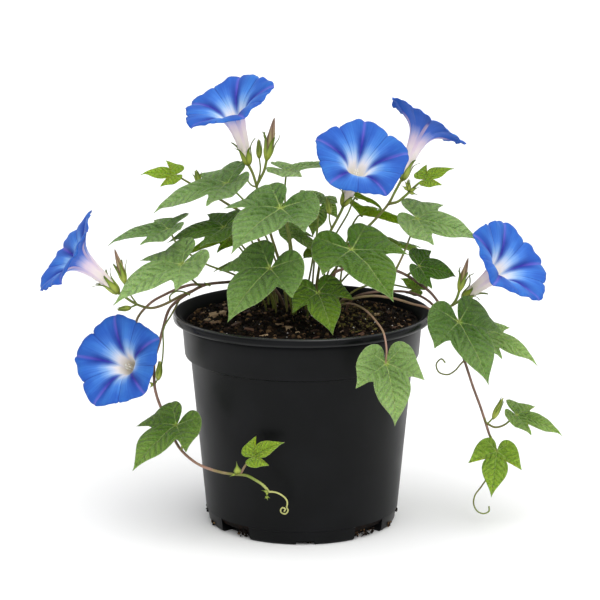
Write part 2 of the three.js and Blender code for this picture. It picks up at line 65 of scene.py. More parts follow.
def linear(code):
    """An sRGB hex value as a linear RGBA colour."""
    parts = [int(code[i:i + 2], 16) / 255 for i in (1, 3, 5)]
    return (*[c / 12.92 if c <= 0.04045 else ((c + 0.055) / 1.055) ** 2.4 for c in parts], 1.0)


# ---- pot and soil, in millimetres -------------------------------------------------------------

POT_HEIGHT = 167
LIP_RADIUS = 100
POT_PROFILE = [  # radius, height: up the outside and down the inside
    (0, 0), (71, 0), (72.4, 0.8), (73.2, 2.4), (74.4, 10.6), (75.4, 11.3), (86.4, 130.2),
    (86.9, 131.6), (90.5, 133.2), (91.1, 134.6), (92.9, 157.4), (93.5, 158.8), (98.2, 160.2),
    (99.6, 161.2), (LIP_RADIUS, 162.6), (LIP_RADIUS, 165.2), (99.5, 166.5), (98.3, POT_HEIGHT),
    (96.2, 166.7), (94.3, 165.4), (92.2, 160.5), (91.3, 158), (89.5, 135), (85.1, 131.4),
    (73.6, 10), (71, 6), (0, 6),
]
POT_TURNS = 144
POT_FLOOR = 6
# Drain slots at the foot, tall and low in turn: the first one's angle, height, width and reach.
SLOTS = [(45, 11.5, 30, 62, 80), (2, 3, 14, 66, 80)]
SOIL_EDGE = 158.5
SOIL_RADIUS = 90.2
SOIL_WALL = [(SOIL_RADIUS, SOIL_EDGE), (89.2, 135.1), (84.7, 131.7), (73.2, 10.3), (70.7, 6.3),
             (0, 6.3)]
SOIL_CROWN = 5
CROWN_RADIUS = 93
SOIL_LUMP = 1.1
SOIL_ROUGHNESS = 1.8
LUMPS_END = 84  # radius from which the surface settles towards the wall
SOIL_COLUMNS = 150
SOIL_ROWS = 66
CRUMB_SIZE = 2.3
CHIPS = [  # the largest chips: x, y, size and how light
    (-66, 7, 6.5, 0.8), (-73, -11, 4, 0.75), (-67, -21, 4, 0.6), (-53, -33, 7, 0.3),
    (-17, -35, 4.2, 0.9), (-8, -46, 4.4, 0.8), (-4, -54, 3.4, 0.95), (-29, -58, 3.4, 0.9),
    (-40, -50, 3.5, 0.5), (10, -66, 3.6, 0.45), (-76, 20, 4, 0.4), (44, -60, 3.2, 0.5),
]
PERLITE = [(49, -11), (62, -7), (80, 10), (79, -14), (69, -28), (56, -22), (72, 2)]
PERLITE_GRAINS = 110
MOSS_PLACE = (40, 0)
MOSS_REACH = (25, 50)
MOSS_TRIES = 1900  # tufts drawn, of which those outside the moss's patches are left out
STALK_TRIES = 150
# Soil that falls out of the drain slots: its angle and half width, lowest and highest place,
# nearest and furthest reach, and the number of crumbs.
SPILLS = [
    (-129, 5, 0.9, 9, 67, 72, 42), (-48, 9, 0.9, 6, 67, 73, 60), (-87, 3.5, 0.9, 3.4, 68, 72, 18),
    (45, 9, 0.9, 6, 66, 71, 30), (135, 9, 0.9, 6, 66, 71, 30), (-179, 2, 5, 10, 74.2, 75.2, 12),
    (-161, 3, 1, 4, 73, 74, 12), (-2, 2, 5, 9, 74.2, 75.2, 10), (-22, 3, 1, 4, 73, 74, 10),
]

# ---- leaves -----------------------------------------------------------------------------------

# The form and relief of a blade, in blade lengths.
BLADE_ARCH = 0.25
BLADE_DROOP = 0.12
BLADE_CUP = 0.25
BLADE_LOBE = 0.61
BLADE_CENTRE = Vector((0.12, 0))
BLADE_FOLD = 0.1
BLADE_QUILT = 0.03
BLADE_GUTTER = 0.016
BLADE_PUCKER = 0.018
BLADE_WAVE = 0.03
BLADE_LENGTH = 55  # a usual one, in millimetres
BLADE_WALL = 0.4
BLADE_ROWS = 26
CURVE_POINTS = 13  # to one Bezier piece of the outline
LEAF_VEINS = [(1.0, 0.0), (0.465, 0.885), (-0.604, 0.797)]  # directions of the main veins
SIDE_VEIN_LEAN = 0.55
SIDE_VEIN_BEND = 1.1
SIDE_VEIN_BEAT = 8.0  # side veins to one blade length
SIDE_VEIN_SHIFT = 0.02  # how far the left side's veins start ahead of the right side's
# Half outlines as Bezier pieces: start, two handles, end. One unit runs from petiole to tip.
MATURE_OUTLINE = [
    ((0, 0), (-0.06, 0.02), (-0.27, 0.02), (-0.31, 0.17)),
    ((-0.31, 0.17), (-0.35, 0.34), (-0.2, 0.5), (0, 0.535)),
    ((0, 0.535), (0.13, 0.56), (0.25, 0.57), (0.34, 0.61)),
    ((0.34, 0.61), (0.31, 0.5), (0.25, 0.4), (0.275, 0.31)),
    ((0.275, 0.31), (0.38, 0.34), (0.52, 0.32), (0.64, 0.245)),
    ((0.64, 0.245), (0.78, 0.155), (0.88, 0.03), (1, 0)),
]
YOUNG_OUTLINE = [
    ((0, 0), (-0.04, 0.03), (-0.17, 0.02), (-0.22, 0.13)),
    ((-0.22, 0.13), (-0.27, 0.27), (-0.14, 0.43), (0.02, 0.49)),
    ((0.02, 0.49), (0.13, 0.53), (0.24, 0.56), (0.34, 0.61)),
    ((0.34, 0.61), (0.27, 0.46), (0.13, 0.33), (0.17, 0.2)),
    ((0.17, 0.2), (0.28, 0.32), (0.45, 0.31), (0.6, 0.21)),
    ((0.6, 0.21), (0.76, 0.11), (0.88, 0.02), (1, 0)),
]
PETIOLE_RADIUS = 0.78


class Leaf(NamedTuple):
    """A blade and its petiole."""

    junction: tuple  # where the petiole meets the blade
    tip: tuple
    roll: float  # about the midrib, in degrees
    width: float  # half the blade's, over its length
    petiole: list  # its route
    # dark is partly the leaf's own tone and partly painted light and shade: pale grey-green where
    # the leaf lies in the light, deep green where it lies in shade.
    dark: float = 0  # -1 is pale and 1 is deep green
    young: float = 0  # 0 is grown and 1 is just out
    fold: float = BLADE_FOLD
    petiole_ages: tuple = None  # from green, 0, to woody, 1, where it isn't the usual


LEAVES = {
    "leaf_left_top": Leaf((-58, 0, 267), (-114, -5, 245), -15, 0.5, [(-12, 8, 140), (-12, 6, 170),
        (-22, -6, 212), (-38, -4, 246), (-50, 0, 259)], dark=-0.25),
    "leaf_left_mid": Leaf((-102, -15, 234), (-150, -5, 220), -12, 0.5, [(-28, 14, 140),
        (-29, 10, 170), (-48, -6, 194), (-76, -16, 208), (-96, -11, 222)], dark=-0.05),
    "leaf_left_inner": Leaf((-60, -12, 235), (-104, -2, 221), -22, 0.5, [(-20, 8, 140),
        (-21, 4, 170), (-34, -10, 200), (-50, -14, 222)], dark=0.55),
    "leaf_centre_left": Leaf((-16, -40, 255), (-52, -90, 230), -10, 0.55, [(-5, 2, 140),
        (-5, -2, 170), (-8, -14, 205), (-12, -30, 240)], dark=0.05),
    "leaf_left_low": Leaf((-91, -40, 212), (-142, -62, 185), -12, 0.52, [(-78, -1, 186),
        (-82, -14, 192), (-88, -28, 202)], dark=-0.45),
    "leaf_front_left": Leaf((-24, -60, 213), (-55, -98, 181), -14, 0.56, [(-6, -6, 140),
        (-7, -10, 165), (-12, -26, 190), (-20, -46, 206)], dark=0.25),
    "leaf_top": Leaf((-11, 5, 276), (34, -5, 279), 7, 0.45, [(-4, 22, 140), (-4, 20, 170),
        (-8, 8, 215), (-13, 6, 250)], dark=-0.6),
    "leaf_centre_back": Leaf((12, 5, 250), (1, 46, 253), 0, 0.44, [(3, 16, 140), (3, 14, 170),
        (8, 2, 205), (12, 0, 232)], dark=-0.3, young=0.25),
    "leaf_right_top": Leaf((89, 5, 238), (137, 3, 222), 30, 0.5, [(72, -8, 200), (78, -4, 212),
        (84, 2, 226)], dark=-0.55),
    "leaf_centre_right": Leaf((37, -50, 225), (67, -101, 196), 8, 0.56, [(12, 2, 140),
        (13, -2, 168), (20, -22, 196), (30, -40, 214)], dark=0.6),
    "leaf_right_mid": Leaf((90, -10, 204), (119, -3, 194), 40, 0.62, [(81, -8, 196),
        (85, -10, 200)], dark=0.9),
    "leaf_front_centre": Leaf((12, -60, 194), (23, -88, 168), 12, 0.6, [(4, -8, 140), (4, -12, 163),
        (7, -34, 180), (11, -52, 191)], young=0.2, dark=0.75),
    "leaf_over_rim": Leaf((62, -98, 149), (69, -112, 105), -4, 0.64, [(18, -12, 140),
        (20, -16, 164), (30, -36, 179), (38, -50, 183), (47, -66, 182), (54, -82, 178),
        (60, -95, 171), (62, -101, 160)], young=0.05, dark=-0.35,
        petiole_ages=(0.3, 0.45, 0.62, 0.45)),
    "leaf_right_low": Leaf((120, -28, 164), (141, -64, 124), 5, 0.54, [(106, -10, 174),
        (110, -17, 173), (116, -24, 169)], dark=0.2),
    "leaf_right_behind": Leaf((145, 8, 146), (185, 8, 121), 22, 0.5, [(119, -5, 148), (126, 3, 150),
        (136, 8, 150)], young=0.2, dark=-0.5),
    "leaf_right_tail": Leaf((167, -15, 87), (203, -15, 70), 20, 0.5, [(143, -12, 80),
        (150, -15, 77), (157, -16, 79)], young=0.3, dark=-0.1),
    "leaf_right_tip": Leaf((151, -26, 61), (146, -41, 28), -15, 0.57, [(146, -16, 71),
        (149, -22, 66)], young=0.7),
    "leaf_left_under": Leaf((-55, 14, 222), (-90, 6, 209), 38, 0.5, [(-26, 34, 140), (-27, 32, 170),
        (-36, 26, 196), (-48, 18, 216)], dark=0.3, young=0.3),
    "leaf_left_inside": Leaf((-42, 2, 204), (-69, 6, 196), -10, 0.5, [(-22, 20, 140),
        (-23, 18, 168), (-32, 8, 190)], dark=0.4, young=0.4),
    "leaf_back_right": Leaf((42, 29, 251), (64, 21, 241), -25, 0.45, [(16, 38, 140), (16, 37, 170),
        (22, 34, 210), (36, 29, 238)], dark=0.2, young=0.5, fold=0.35),
    "leaf_right_edge_on": Leaf((46, 43, 235), (97, 33, 218), -20, 0.38, [(28, 32, 140),
        (29, 33, 170), (34, 42, 205), (40, 45, 226)], young=0.7, fold=0.4),
    "leaf_right_inside": Leaf((92, 16, 180), (77, 26, 187), -35, 0.5, [(30, 18, 140), (31, 18, 168),
        (46, 18, 181), (66, 17, 184), (84, 16, 181)], young=0.8),
    "leaf_inside_upper": Leaf((14, 38, 240), (8, 10, 223), 0, 0.5, [(8, 44, 140), (8, 44, 170),
        (11, 46, 210), (13, 42, 232)], young=0.5),
    "leaf_inside_lower": Leaf((-8, 32, 222), (14, 14, 206), 0, 0.5, [(-4, 40, 140), (-4, 40, 170),
        (-8, 38, 200)], dark=0.1, young=0.3),
    "leaf_back_left": Leaf((-46, 44, 226), (-70, 92, 208), 5, 0.55, [(-20, 38, 140), (-20, 38, 170),
        (-30, 40, 196), (-40, 42, 214)]),
    "leaf_back": Leaf((-8, 62, 232), (-14, 112, 210), 0, 0.55, [(-10, 46, 140), (-10, 46, 170),
        (-10, 50, 200), (-9, 58, 222)]),
    "leaf_back_low": Leaf((26, 58, 200), (36, 104, 176), -5, 0.55, [(14, 46, 140), (14, 46, 168),
        (20, 50, 184)]),
    "leaf_back_far_right": Leaf((64, 44, 212), (96, 74, 194), -5, 0.55, [(24, 42, 140),
        (25, 42, 170), (40, 44, 190), (56, 44, 204)]),
    "young_leaf_left": Leaf((-98, 22, 270), (-126, 27, 269), -35, 0.5, [(-86, 24, 262),
        (-92, 22, 266)], young=1),
    "young_leaf_right": Leaf((94, 10, 268), (118, 18, 276), 30, 0.5, [(86, 11, 261), (90, 10, 265)],
        young=1),
    "young_leaf_on_pot": Leaf((-37, -90, 75), (-13, -88, 86), 45, 0.52, [(-46, -87, 61),
        (-44, -88, 65), (-41, -89, 70)], young=0.9, fold=0.35, petiole_ages=(0.7, 0.3, 0)),
    "leaf_left_tail": Leaf((-96, -50, 89), (-128, -78, 61), -14, 0.53, [(-92, -52, 69),
        (-91, -55, 76), (-93, -54, 84)], young=0.15, dark=0.3),
}

# ---- stems, vines, buds and flowers -----------------------------------------------------------

VINE = 1.15
STALK = 1.05
TENDRIL = 0.62


class Stem(NamedTuple):
    """A stem or vine with all that grows from it."""

    runs: list  # route, radius and ages along it from green, 0, to woody, 1
    flowers: tuple = ()
    buds: tuple = ()  # foot, tip and radius
    sprouts: tuple = ()  # foot, tip and half width of a tiny leaf


STEMS = {
    "stem_top_left": Stem([
        ([(-12, 16, 140), (-12, 14, 165), (-15, 6, 196), (-20, 3, 213), (-26, 4, 232),
         (-32, 5, 249), (-35, 5, 264), (-38, 5, 274), (-41, 5, 280)], VINE, (0.4, 0.3, 0.05)),
        ([(-35, 5, 264), (-29, 3, 276), (-27, 2, 285)], STALK, (0.1, 0)),
        ([(-34, 5, 266), (-32, 9, 276), (-33, 10, 286)], TENDRIL, (0.1, 0)),
        ([(-34, 5, 263), (-38, 4, 264), (-41, 4, 267), (-43, 5, 272)], TENDRIL, (0.2, 0)),
    ], flowers=["top_left"],
        buds=[((-27, 2, 285), (-21, 0, 317), 3.6), ((-33, 10, 286), (-33, 12, 299), 1.9)]),
    "stem_shoot_left": Stem([
        ([(-20, 26, 140), (-21, 24, 168), (-26, 14, 199), (-34, 12, 221), (-45, 14, 240),
         (-57, 17, 247), (-66, 20, 252), (-77, 24, 257), (-86, 24, 262)], STALK, (0.45, 0.4, 0.25)),
        ([(-77, 24, 257), (-80, 19, 264)], TENDRIL, (0.1, 0)),
    ], buds=[((-80, 19, 264), (-82, 18, 274), 2)],
        sprouts=[((-80, 18, 265), (-86, 17, 273), 1.3), ((-80, 18, 265), (-77, 17, 274), 1.3)]),
    "stem_top_centre": Stem([
        ([(10, 18, 140), (10, 16, 165), (13, 6, 197), (17, 0, 216), (22, -3, 230), (26, -1, 237),
         (30, 3, 244), (32, 6, 248)], VINE, (0.5, 0.25, 0.05)),
        ([(23, -3, 231), (21, -8, 240), (21, -10, 246)], TENDRIL, (0.1, 0)),
    ], flowers=["top_centre"], buds=[((21, -10, 246), (19, -13, 258), 1.9)]),
    "stem_top_right": Stem([
        ([(22, 30, 140), (22, 28, 168), (29, 16, 203), (41, 14, 220), (55, 14, 234), (67, 15, 248),
         (72, 17, 257), (77, 19, 266)], VINE, (0.4, 0.35, 0.1)),
        ([(67, 15, 248), (74, 13, 250), (80, 12, 255), (86, 11, 261)], STALK, (0.2, 0)),
        ([(83, 12, 258), (82, 12, 260)], TENDRIL, (0, 0)),
    ], flowers=["top_right"], buds=[((82, 12, 260), (82, 11, 268), 1.3)],
        sprouts=[((82.5, 10, 259), (83.5, 9, 269), 1.6), ((82, 10, 260), (76, 9, 264), 1.5),
                 ((83, 10, 259), (91, 9, 262.5), 1.6), ((83, 10, 258), (90, 9, 256), 1.4),
                 ((82, 10, 262), (78.5, 9, 268), 1.2)]),
    "vine_right": Stem([
        ([(16, 6, 140), (16, 4, 165), (18, -8, 190), (26, -13, 200), (37, -12, 203), (54, -10, 203),
         (72, -8, 200), (81, -8, 196), (90, -8, 190), (99, -9, 183), (106, -10, 174),
         (115, -6, 157), (122, -5, 140), (127, -6, 126), (133, -8, 108), (139, -10, 92),
         (143, -12, 80), (146, -16, 71), (150, -20, 63)], VINE, (0.5, 0.6, 0.85, 0.95, 0.8, 0.65)),
        ([(108, -10, 170), (113, -11, 172), (118, -9, 174), (124, -4, 177)], STALK, (0.3, 0)),
        ([(116, -10, 173), (119, -13, 179), (121, -14, 186)], STALK, (0.2, 0)),
        ([(126, -6, 128), (123, -9, 126), (119, -12, 122), (113, -14, 119), (106, -14, 121),
         (104, -13, 127), (108, -12, 131), (111, -12, 128)], TENDRIL, (0.3, 0)),
        ([(142, -11, 84), (144, -14, 80), (149, -15, 85)], TENDRIL, (0.3, 0)),
        ([(150, -20, 63), (150, -17, 52), (146, -19, 40), (140, -21, 31), (135, -22, 24),
         (134, -22, 17), (137, -22, 11), (142, -22, 9), (146, -22, 11), (146, -22, 15)], TENDRIL,
         (0.4, 0)),
    ], flowers=["right"],
        buds=[((121, -14, 186), (127, -19, 212), 2.8), ((149, -15, 85), (156, -16, 101), 2)]),
    "vine_right_low": Stem([
        ([(26, 2, 140), (27, -2, 165), (31, -14, 178), (38, -24, 181), (46, -25, 183),
         (57, -22, 183), (71, -18, 180), (85, -14, 175), (97, -11, 171), (105, -9, 165),
         (108, -14, 152)], STALK, (0.4, 0.45, 0.7))
    ]),
    "vine_right_back": Stem([
        ([(34, 12, 140), (35, 10, 166), (41, 5, 176), (54, 5, 180), (68, 9, 180), (82, 11, 179),
         (93, 8, 176), (102, 4, 170), (108, 2, 160), (110, 3, 146)], STALK, (0.9, 0.7))
    ]),
    "vine_left": Stem([
        ([(-14, 30, 140), (-15, 30, 166), (-24, 27, 180), (-40, 20, 186), (-59, 10, 187),
         (-75, 0, 187), (-85, -5, 183), (-94, -9, 178), (-102, -14, 171), (-107, -20, 156),
         (-110, -25, 145), (-113, -30, 135), (-113, -34, 116), (-112, -31, 108), (-110, -28, 100),
         (-107, -27, 92), (-103, -32, 83), (-98, -41, 75), (-92, -52, 69), (-81, -64, 63),
         (-72, -72, 61), (-61, -80, 60), (-52, -85, 60), (-41, -89, 60), (-35, -90, 57),
         (-30, -91, 54), (-27, -91, 51), (-25, -91, 48)], VINE,
         (1, 0.9, 0.75, 0.8, 0.75, 0.6, -0.3)),
        ([(-25, -91, 48), (-22, -91, 48), (-18, -91, 47), (-14, -91, 44.5), (-11.5, -91, 41.5),
         (-11, -91, 38.5), (-11.5, -91, 36), (-10.5, -90, 33), (-12.5, -90, 30.5),
         (-15.5, -90, 31.5), (-16, -91, 34), (-14.5, -92, 36), (-12.5, -92.5, 35),
         (-13.5, -92.5, 33)], TENDRIL, (-0.3, -0.3)),
        ([(-94, -9, 178), (-100, -18, 168), (-106, -26, 158), (-106, -31, 146), (-107, -33, 134),
         (-110, -35, 122), (-113, -34, 116)], TENDRIL, (0.3, 0)),
        ([(-101, -19, 178), (-101, -22, 183), (-97, -20, 186), (-91, -16, 185), (-86, -14, 182)],
         TENDRIL, (0.1, 0)),
        ([(-75, 0, 187), (-85, 1, 187), (-96, 0, 184), (-106, -3, 180), (-117, -6, 174),
         (-128, -4, 160), (-128, 2, 141), (-123, 0, 126), (-120, -8, 117)], STALK, (0.9, 0.2)),
        ([(-85, -5, 183), (-94, -14, 181), (-101, -19, 178), (-109, -22, 175), (-116, -24, 174),
         (-126, -25, 177), (-134, -25, 182), (-139, -24, 186)], STALK, (0.6, 0)),
        ([(-126, -25, 177), (-132, -27, 187), (-135, -28, 195)], TENDRIL, (0.1, 0)),
        ([(-126, -25, 177), (-132, -28, 175)], TENDRIL, (0.1, 0)),
    ], flowers=["left", "lower_left"],
        buds=[((-110, -37, 122), (-108, -38, 136), 2.1),
              ((-135, -28, 195), (-142, -30, 221), 2.8),
              ((-132, -28, 175), (-141, -29, 174), 1.7)],
        sprouts=[((-48, -87, 61), (-49, -89, 72), 3), ((-50, -87, 61), (-54.5, -89, 59), 1),
                 ((-25.5, -92, 48.5), (-30.5, -93, 50), 1.2),
                 ((-26, -92, 48.5), (-26.5, -93, 44), 1),
                 ((-26.5, -93, 45), (-28, -94, 43.5), 0.9),
                 ((-26.5, -93, 45), (-25.5, -94, 42), 0.9),
                 ((-26.5, -93, 45), (-23.5, -94, 44), 0.9),
                 ((-114, -36, 117), (-118, -38, 120), 1),
                 ((-114, -36, 117), (-117, -38, 114), 1), ((-72, -2, 187), (-77, -4, 191), 1),
                 ((-72, -2, 187), (-69, -6, 189), 1)]),
}

# The foot of the corolla, the middle of its margin, the way it looks, its turn and its width.
FLOWERS = {
    "top_left": ((-42, 5, 284), (-57, -8, 332), (-0.35, -0.32, 0.88), 0, 1),
    "top_centre": ((33, 4, 252), (45, -22, 291), (0.15, -0.67, 0.73), 16, 1),
    "top_right": ((79, 20, 270), (98, 32, 310), (0.53, 0.23, 0.82), 54, 0.93),
    "left": ((-143, -25, 189), (-179, -31, 220), (-0.82, -0.13, 0.55), 33, 1),
    "right": ((127, -6, 180), (160, -30, 213), (0.61, -0.48, 0.64), 38, 1),
    "lower_left": ((-122, -12, 117), (-141, -50, 139), (-0.43, -0.8, 0.42), 8, 1),
}
PETALS = 5
# Half the section of a corolla: radius, height.
FUNNEL = [(0.02, 0.3), (3, 0.35), (3.6, 1.2), (4.6, 12), (6.6, 26), (9.5, 35), (16, 42), (26, 46.5),
          (36, 49)]
FUNNEL_HEIGHT = 49
PETAL_LENGTH = 36  # from the throat to the margin
LIMB = (8, 20)  # radii over which the tube opens out
MARGIN = (22, 36)  # radii over which the margin's own forms set in
PENTAGON = 0.9  # how far the margin goes from round, 0, to straight-sided, 1
RAY_CREASE = 1.9
SEAM_CREASE = 0.9
PETAL_PUFF = 0.7
MARGIN_RUFFLE = 2.2
MARGIN_ROLL = 1.5
PETAL_WALL = 0.35
PETAL_COLUMNS = 36
PETAL_ROWS = 52
STIGMA_PLACE = 0.68  # share of the way up the corolla's axis
STAMEN_PLACE = 0.6
STAMEN_SPREAD = 1.9  # from the axis
HEAD_RADIUS = 0.55
HEAD_STRETCH = 1.9
THREAD_RADIUS = 0.3
SEPALS = 5
CALYX_SIZE = 0.9
# The cup that the sepals of an open flower grow from: radius, height.
CALYX_CUP = [(0, -6.4), (1.2, -5.8), (1.5, -5), (2.2, -4), (3.2, -2.2), (3.7, 0), (3.2, 0.5),
             (0, 0.6)]
# One sepal from foot to tip: distance from the axis, height, half width.
OPEN_SEPAL = [(2.0, -4.4, 1.7), (3.6, -2, 2.7), (4.35, 1, 3.1), (4.7, 4.5, 2.7), (5.2, 8, 1.5),
              (6.4, 10.8, 1.1), (8.8, 13.4, 0.95), (11.3, 15, 0.6)]
GROWN_BUD = 2.5  # radius above which the petals have burst out of the sepals
BUD_TWIST = 1.6  # petal widths that the bands wind round from foot to tip
# Widths at equal steps from foot to tip, as shares of the widest.
BUD_WIDTHS = [0, 0.6, 0.85, 0.98, 1, 0.97, 0.9, 0.8, 0.68, 0.56, 0.44, 0.32, 0.1]
SPROUT_WIDTHS = [0.35, 0.85, 1, 0.8, 0.45, 0.2, 0.12, 0.05, 0]
# One sepal of a bud: share of its height, half width over the bud's radius.
BUD_SEPAL = [(0, 0.5), (0.1, 0.8), (0.3, 0.8), (0.5, 0.5), (0.68, 0.36), (0.85, 0.28), (1, 0.16)]


# ---- mesh helpers -----------------------------------------------------------------------------

def smooth(route, spacing):
    """Points about `spacing` apart on the centripetal curve through the route."""
    knots = [Vector(point) for point in route]
    knots = [2 * knots[0] - knots[1], *knots, 2 * knots[-1] - knots[-2]]
    curve = []
    for a, b, c, d in zip(knots, knots[1:], knots[2:], knots[3:]):
        t1 = (b - a).length ** 0.5
        t2 = t1 + (c - b).length ** 0.5
        t3 = t2 + (d - c).length ** 0.5
        steps = max(2, round((c - b).length / spacing))
        for i in range(steps):
            t = t1 + (t2 - t1) * i / steps
            ab = a.lerp(b, t / t1)
            bc = b.lerp(c, (t - t1) / (t2 - t1))
            cd = c.lerp(d, (t - t2) / (t3 - t2))
            ac = ab.lerp(bc, t / t2)
            bd = bc.lerp(cd, (t - t1) / (t3 - t1))
            curve.append(ac.lerp(bd, (t - t1) / (t2 - t1)))
    return [*curve, knots[-2]]


def eased(low, high, value):
    """0 below low, 1 above high and smooth between them."""
    share = min(1, max(0, (value - low) / (high - low)))
    return share * share * (3 - 2 * share)


def along(values, share):
    """The value at a share of the way through a list of numbers or vectors."""
    place = share * (len(values) - 1)
    low = min(int(place), len(values) - 2)
    return values[low] * (1 - place + low) + values[low + 1] * (place - low)


def polar(radius, turn, z=0):
    """A point from its distance to the axis, its turn round it and its height."""
    return radius * math.cos(turn), radius * math.sin(turn), z


def new_object(name, data):
    """An object for the data, in the scene's collection."""
    item = bpy.data.objects.new(name, data)
    bpy.context.collection.objects.link(item)
    return item


def choose(*pieces):
    """Selects only these pieces and makes the first one active."""
    bpy.ops.object.select_all(action="DESELECT")
    for piece in pieces:
        piece.select_set(True)
    bpy.context.view_layer.objects.active = pieces[0]


def edit(**steps):
    """Runs each of these edit mode operators on the whole of the active piece."""
    bpy.ops.object.mode_set(mode="EDIT")
    for name, options in steps.items():
        bpy.ops.mesh.select_all(action="SELECT")
        getattr(bpy.ops.mesh, name)(**options)
    bpy.ops.object.mode_set(mode="OBJECT")


def shaped_grid(name, columns, rows, place, materials, spot=(0, 0, 0), tint=(0, 0, 0)):
    """Adds a grid, moves each point by place(u, v), and closes its seams and poles.

    spot and tint give the two attributes that the materials read: a vector, or one by (u, v).
    """
    bpy.ops.object.select_all(action="DESELECT")
    bpy.ops.mesh.primitive_grid_add(x_subdivisions=columns, y_subdivisions=rows, size=1)
    piece = bpy.context.object
    piece.name = piece.data.name = name
    mesh = piece.data
    shares = [(round((v.co.x + 0.5) * columns) / columns, round((v.co.y + 0.5) * rows) / rows)
              for v in mesh.vertices]
    mesh.vertices.foreach_set("co", [c * MM for u, v in shares for c in place(u, v)])
    for label, paint in ((SPOT, spot), (TINT, tint)):
        values = [paint(u, v) if callable(paint) else paint for u, v in shares]
        layer = mesh.attributes.new(label, "FLOAT_VECTOR", "POINT")
        layer.data.foreach_set("vector", list(itertools.chain(*values)))
    while mesh.uv_layers:
        mesh.uv_layers.remove(mesh.uv_layers[0])
    edit(remove_doubles={"threshold": WELD})
    bpy.ops.object.shade_smooth()
    for material in materials:
        piece.data.materials.append(material)
    return piece


def thicken(piece, thickness, offset=0, inner=0):
    """Gives a skin its wall. `inner` is how many material slots on the new side's is."""
    choose(piece)
    wall = piece.modifiers.new("wall", "SOLIDIFY")
    wall.thickness = thickness * MM
    wall.offset = offset
    wall.material_offset = inner
    bpy.ops.object.modifier_apply(modifier=wall.name)
    return piece


def joined(name, pieces):
    """Joins the pieces into one object of that name."""
    choose(*pieces)
    if len(pieces) > 1:
        bpy.ops.object.join()
    whole = pieces[0]
    whole.name = whole.data.name = name
    return whole


def finished(piece, slot, *nodes):
    """Lets the piece ride on the plant and stand for those nodes."""
    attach(piece, "root")
    if nodes:
        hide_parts(*nodes)


def facing_turn(direction):
    """The shortest turn from +Z to the direction."""
    return Vector((0, 0, 1)).rotation_difference(Vector(direction))


def shoot(route, radius, ages, seed, material, sides=8, spacing=2.0):
    """A round shoot along the route, a little swollen at its two ends and closed there."""
    spine = smooth(route, spacing)
    last = len(spine) - 1
    ahead = [(spine[min(i + 1, last)] - spine[max(i - 1, 0)]).normalized() for i in range(last + 1)]
    side = [ahead[0].orthogonal().normalized()]
    for before, after in zip(ahead, ahead[1:]):
        side.append(before.rotation_difference(after) @ side[-1])
    rows = last + 2

    def place(u, v):
        row = round(v * rows)
        i = min(max(row - 1, 0), last)
        if row in (0, rows):
            return spine[i]
        share = i / last
        swell = 1 + 0.22 * math.exp(-i * spacing / 3) + 0.12 * math.exp(-(last - i) * spacing / 3)
        uneven = 1 + 0.07 * noise.noise(spine[i] * 0.15 + Vector((seed, 0, 0)))
        thick = radius * swell * uneven * (1.08 - 0.16 * share)
        x, y, _ = polar(1, math.tau * u)
        return spine[i] + thick * (x * side[i] + y * ahead[i].cross(side[i]))

    return shaped_grid("shoot", sides, rows, place, [material],
                       lambda u, v: polar(1, math.tau * u, v * last * spacing),
                       lambda u, v: (along(ages, v), 0, seed))


# ---- material helpers -------------------------------------------------------------------------

def output(value):
    """A node's first output in use, or the socket itself."""
    if isinstance(value, bpy.types.Node):
        return next(item for item in value.outputs if item.enabled)
    return value


def add(tree, kind, *values, stops=(), **named):
    """Adds a shader node, whose kind may be followed by its operation.

    The values go to its first inputs. A name with a capital is an input, any other is a setting.
    A node or a socket is linked, and a hex value is a colour. The stops are those of a ramp.
    """
    kind, *operation = kind.split()
    new = tree.nodes.new("ShaderNode" + kind)
    for name in operation:
        new.operation = name
    for key in filter(str.islower, named):
        setattr(new, key, named[key])
    for i, (position, value) in enumerate(stops):
        stop = new.color_ramp.elements[i] if i < 2 else new.color_ramp.elements.new(position)
        stop.position = position
        if isinstance(value, str):
            value = linear(value)
        stop.color = (value, value, value, 1) if isinstance(value, (int, float)) else value
    inputs = {item.name: item for item in reversed(new.inputs) if item.enabled}
    chosen = [(inputs[key], named[key]) for key in named if not key.islower()]
    for socket, value in [*zip(new.inputs, values), *chosen]:
        value = output(value)
        if isinstance(value, bpy.types.NodeSocket):
            tree.links.new(value, socket)
        else:
            socket.default_value = linear(value) if isinstance(value, str) else value
    return new


def new_material(name, roughness, **shader):
    """A material with constants set on its Principled shader, and a function to add its nodes."""
    material = bpy.data.materials.new(name)
    material.use_nodes = True
    surface = material.node_tree.nodes["Principled BSDF"]
    for key, value in {"Roughness": roughness, **shader}.items():
        surface.inputs[key.replace("_", " ")].default_value = value
    return material, partial(add, material.node_tree)


def finish_material(material, colour, layers=(), **varied):
    """Lays each layer's colour over the ones before it by its share, and links what varies."""
    tree = material.node_tree
    for share, over in layers:
        colour = add(tree, "Mix", Factor=share, A=colour, B=over, data_type="RGBA")
    for key, value in {"Base_Color": colour, **varied}.items():
        if value:
            tree.links.new(output(value),
                           tree.nodes["Principled BSDF"].inputs[key.replace("_", " ")])
    return material
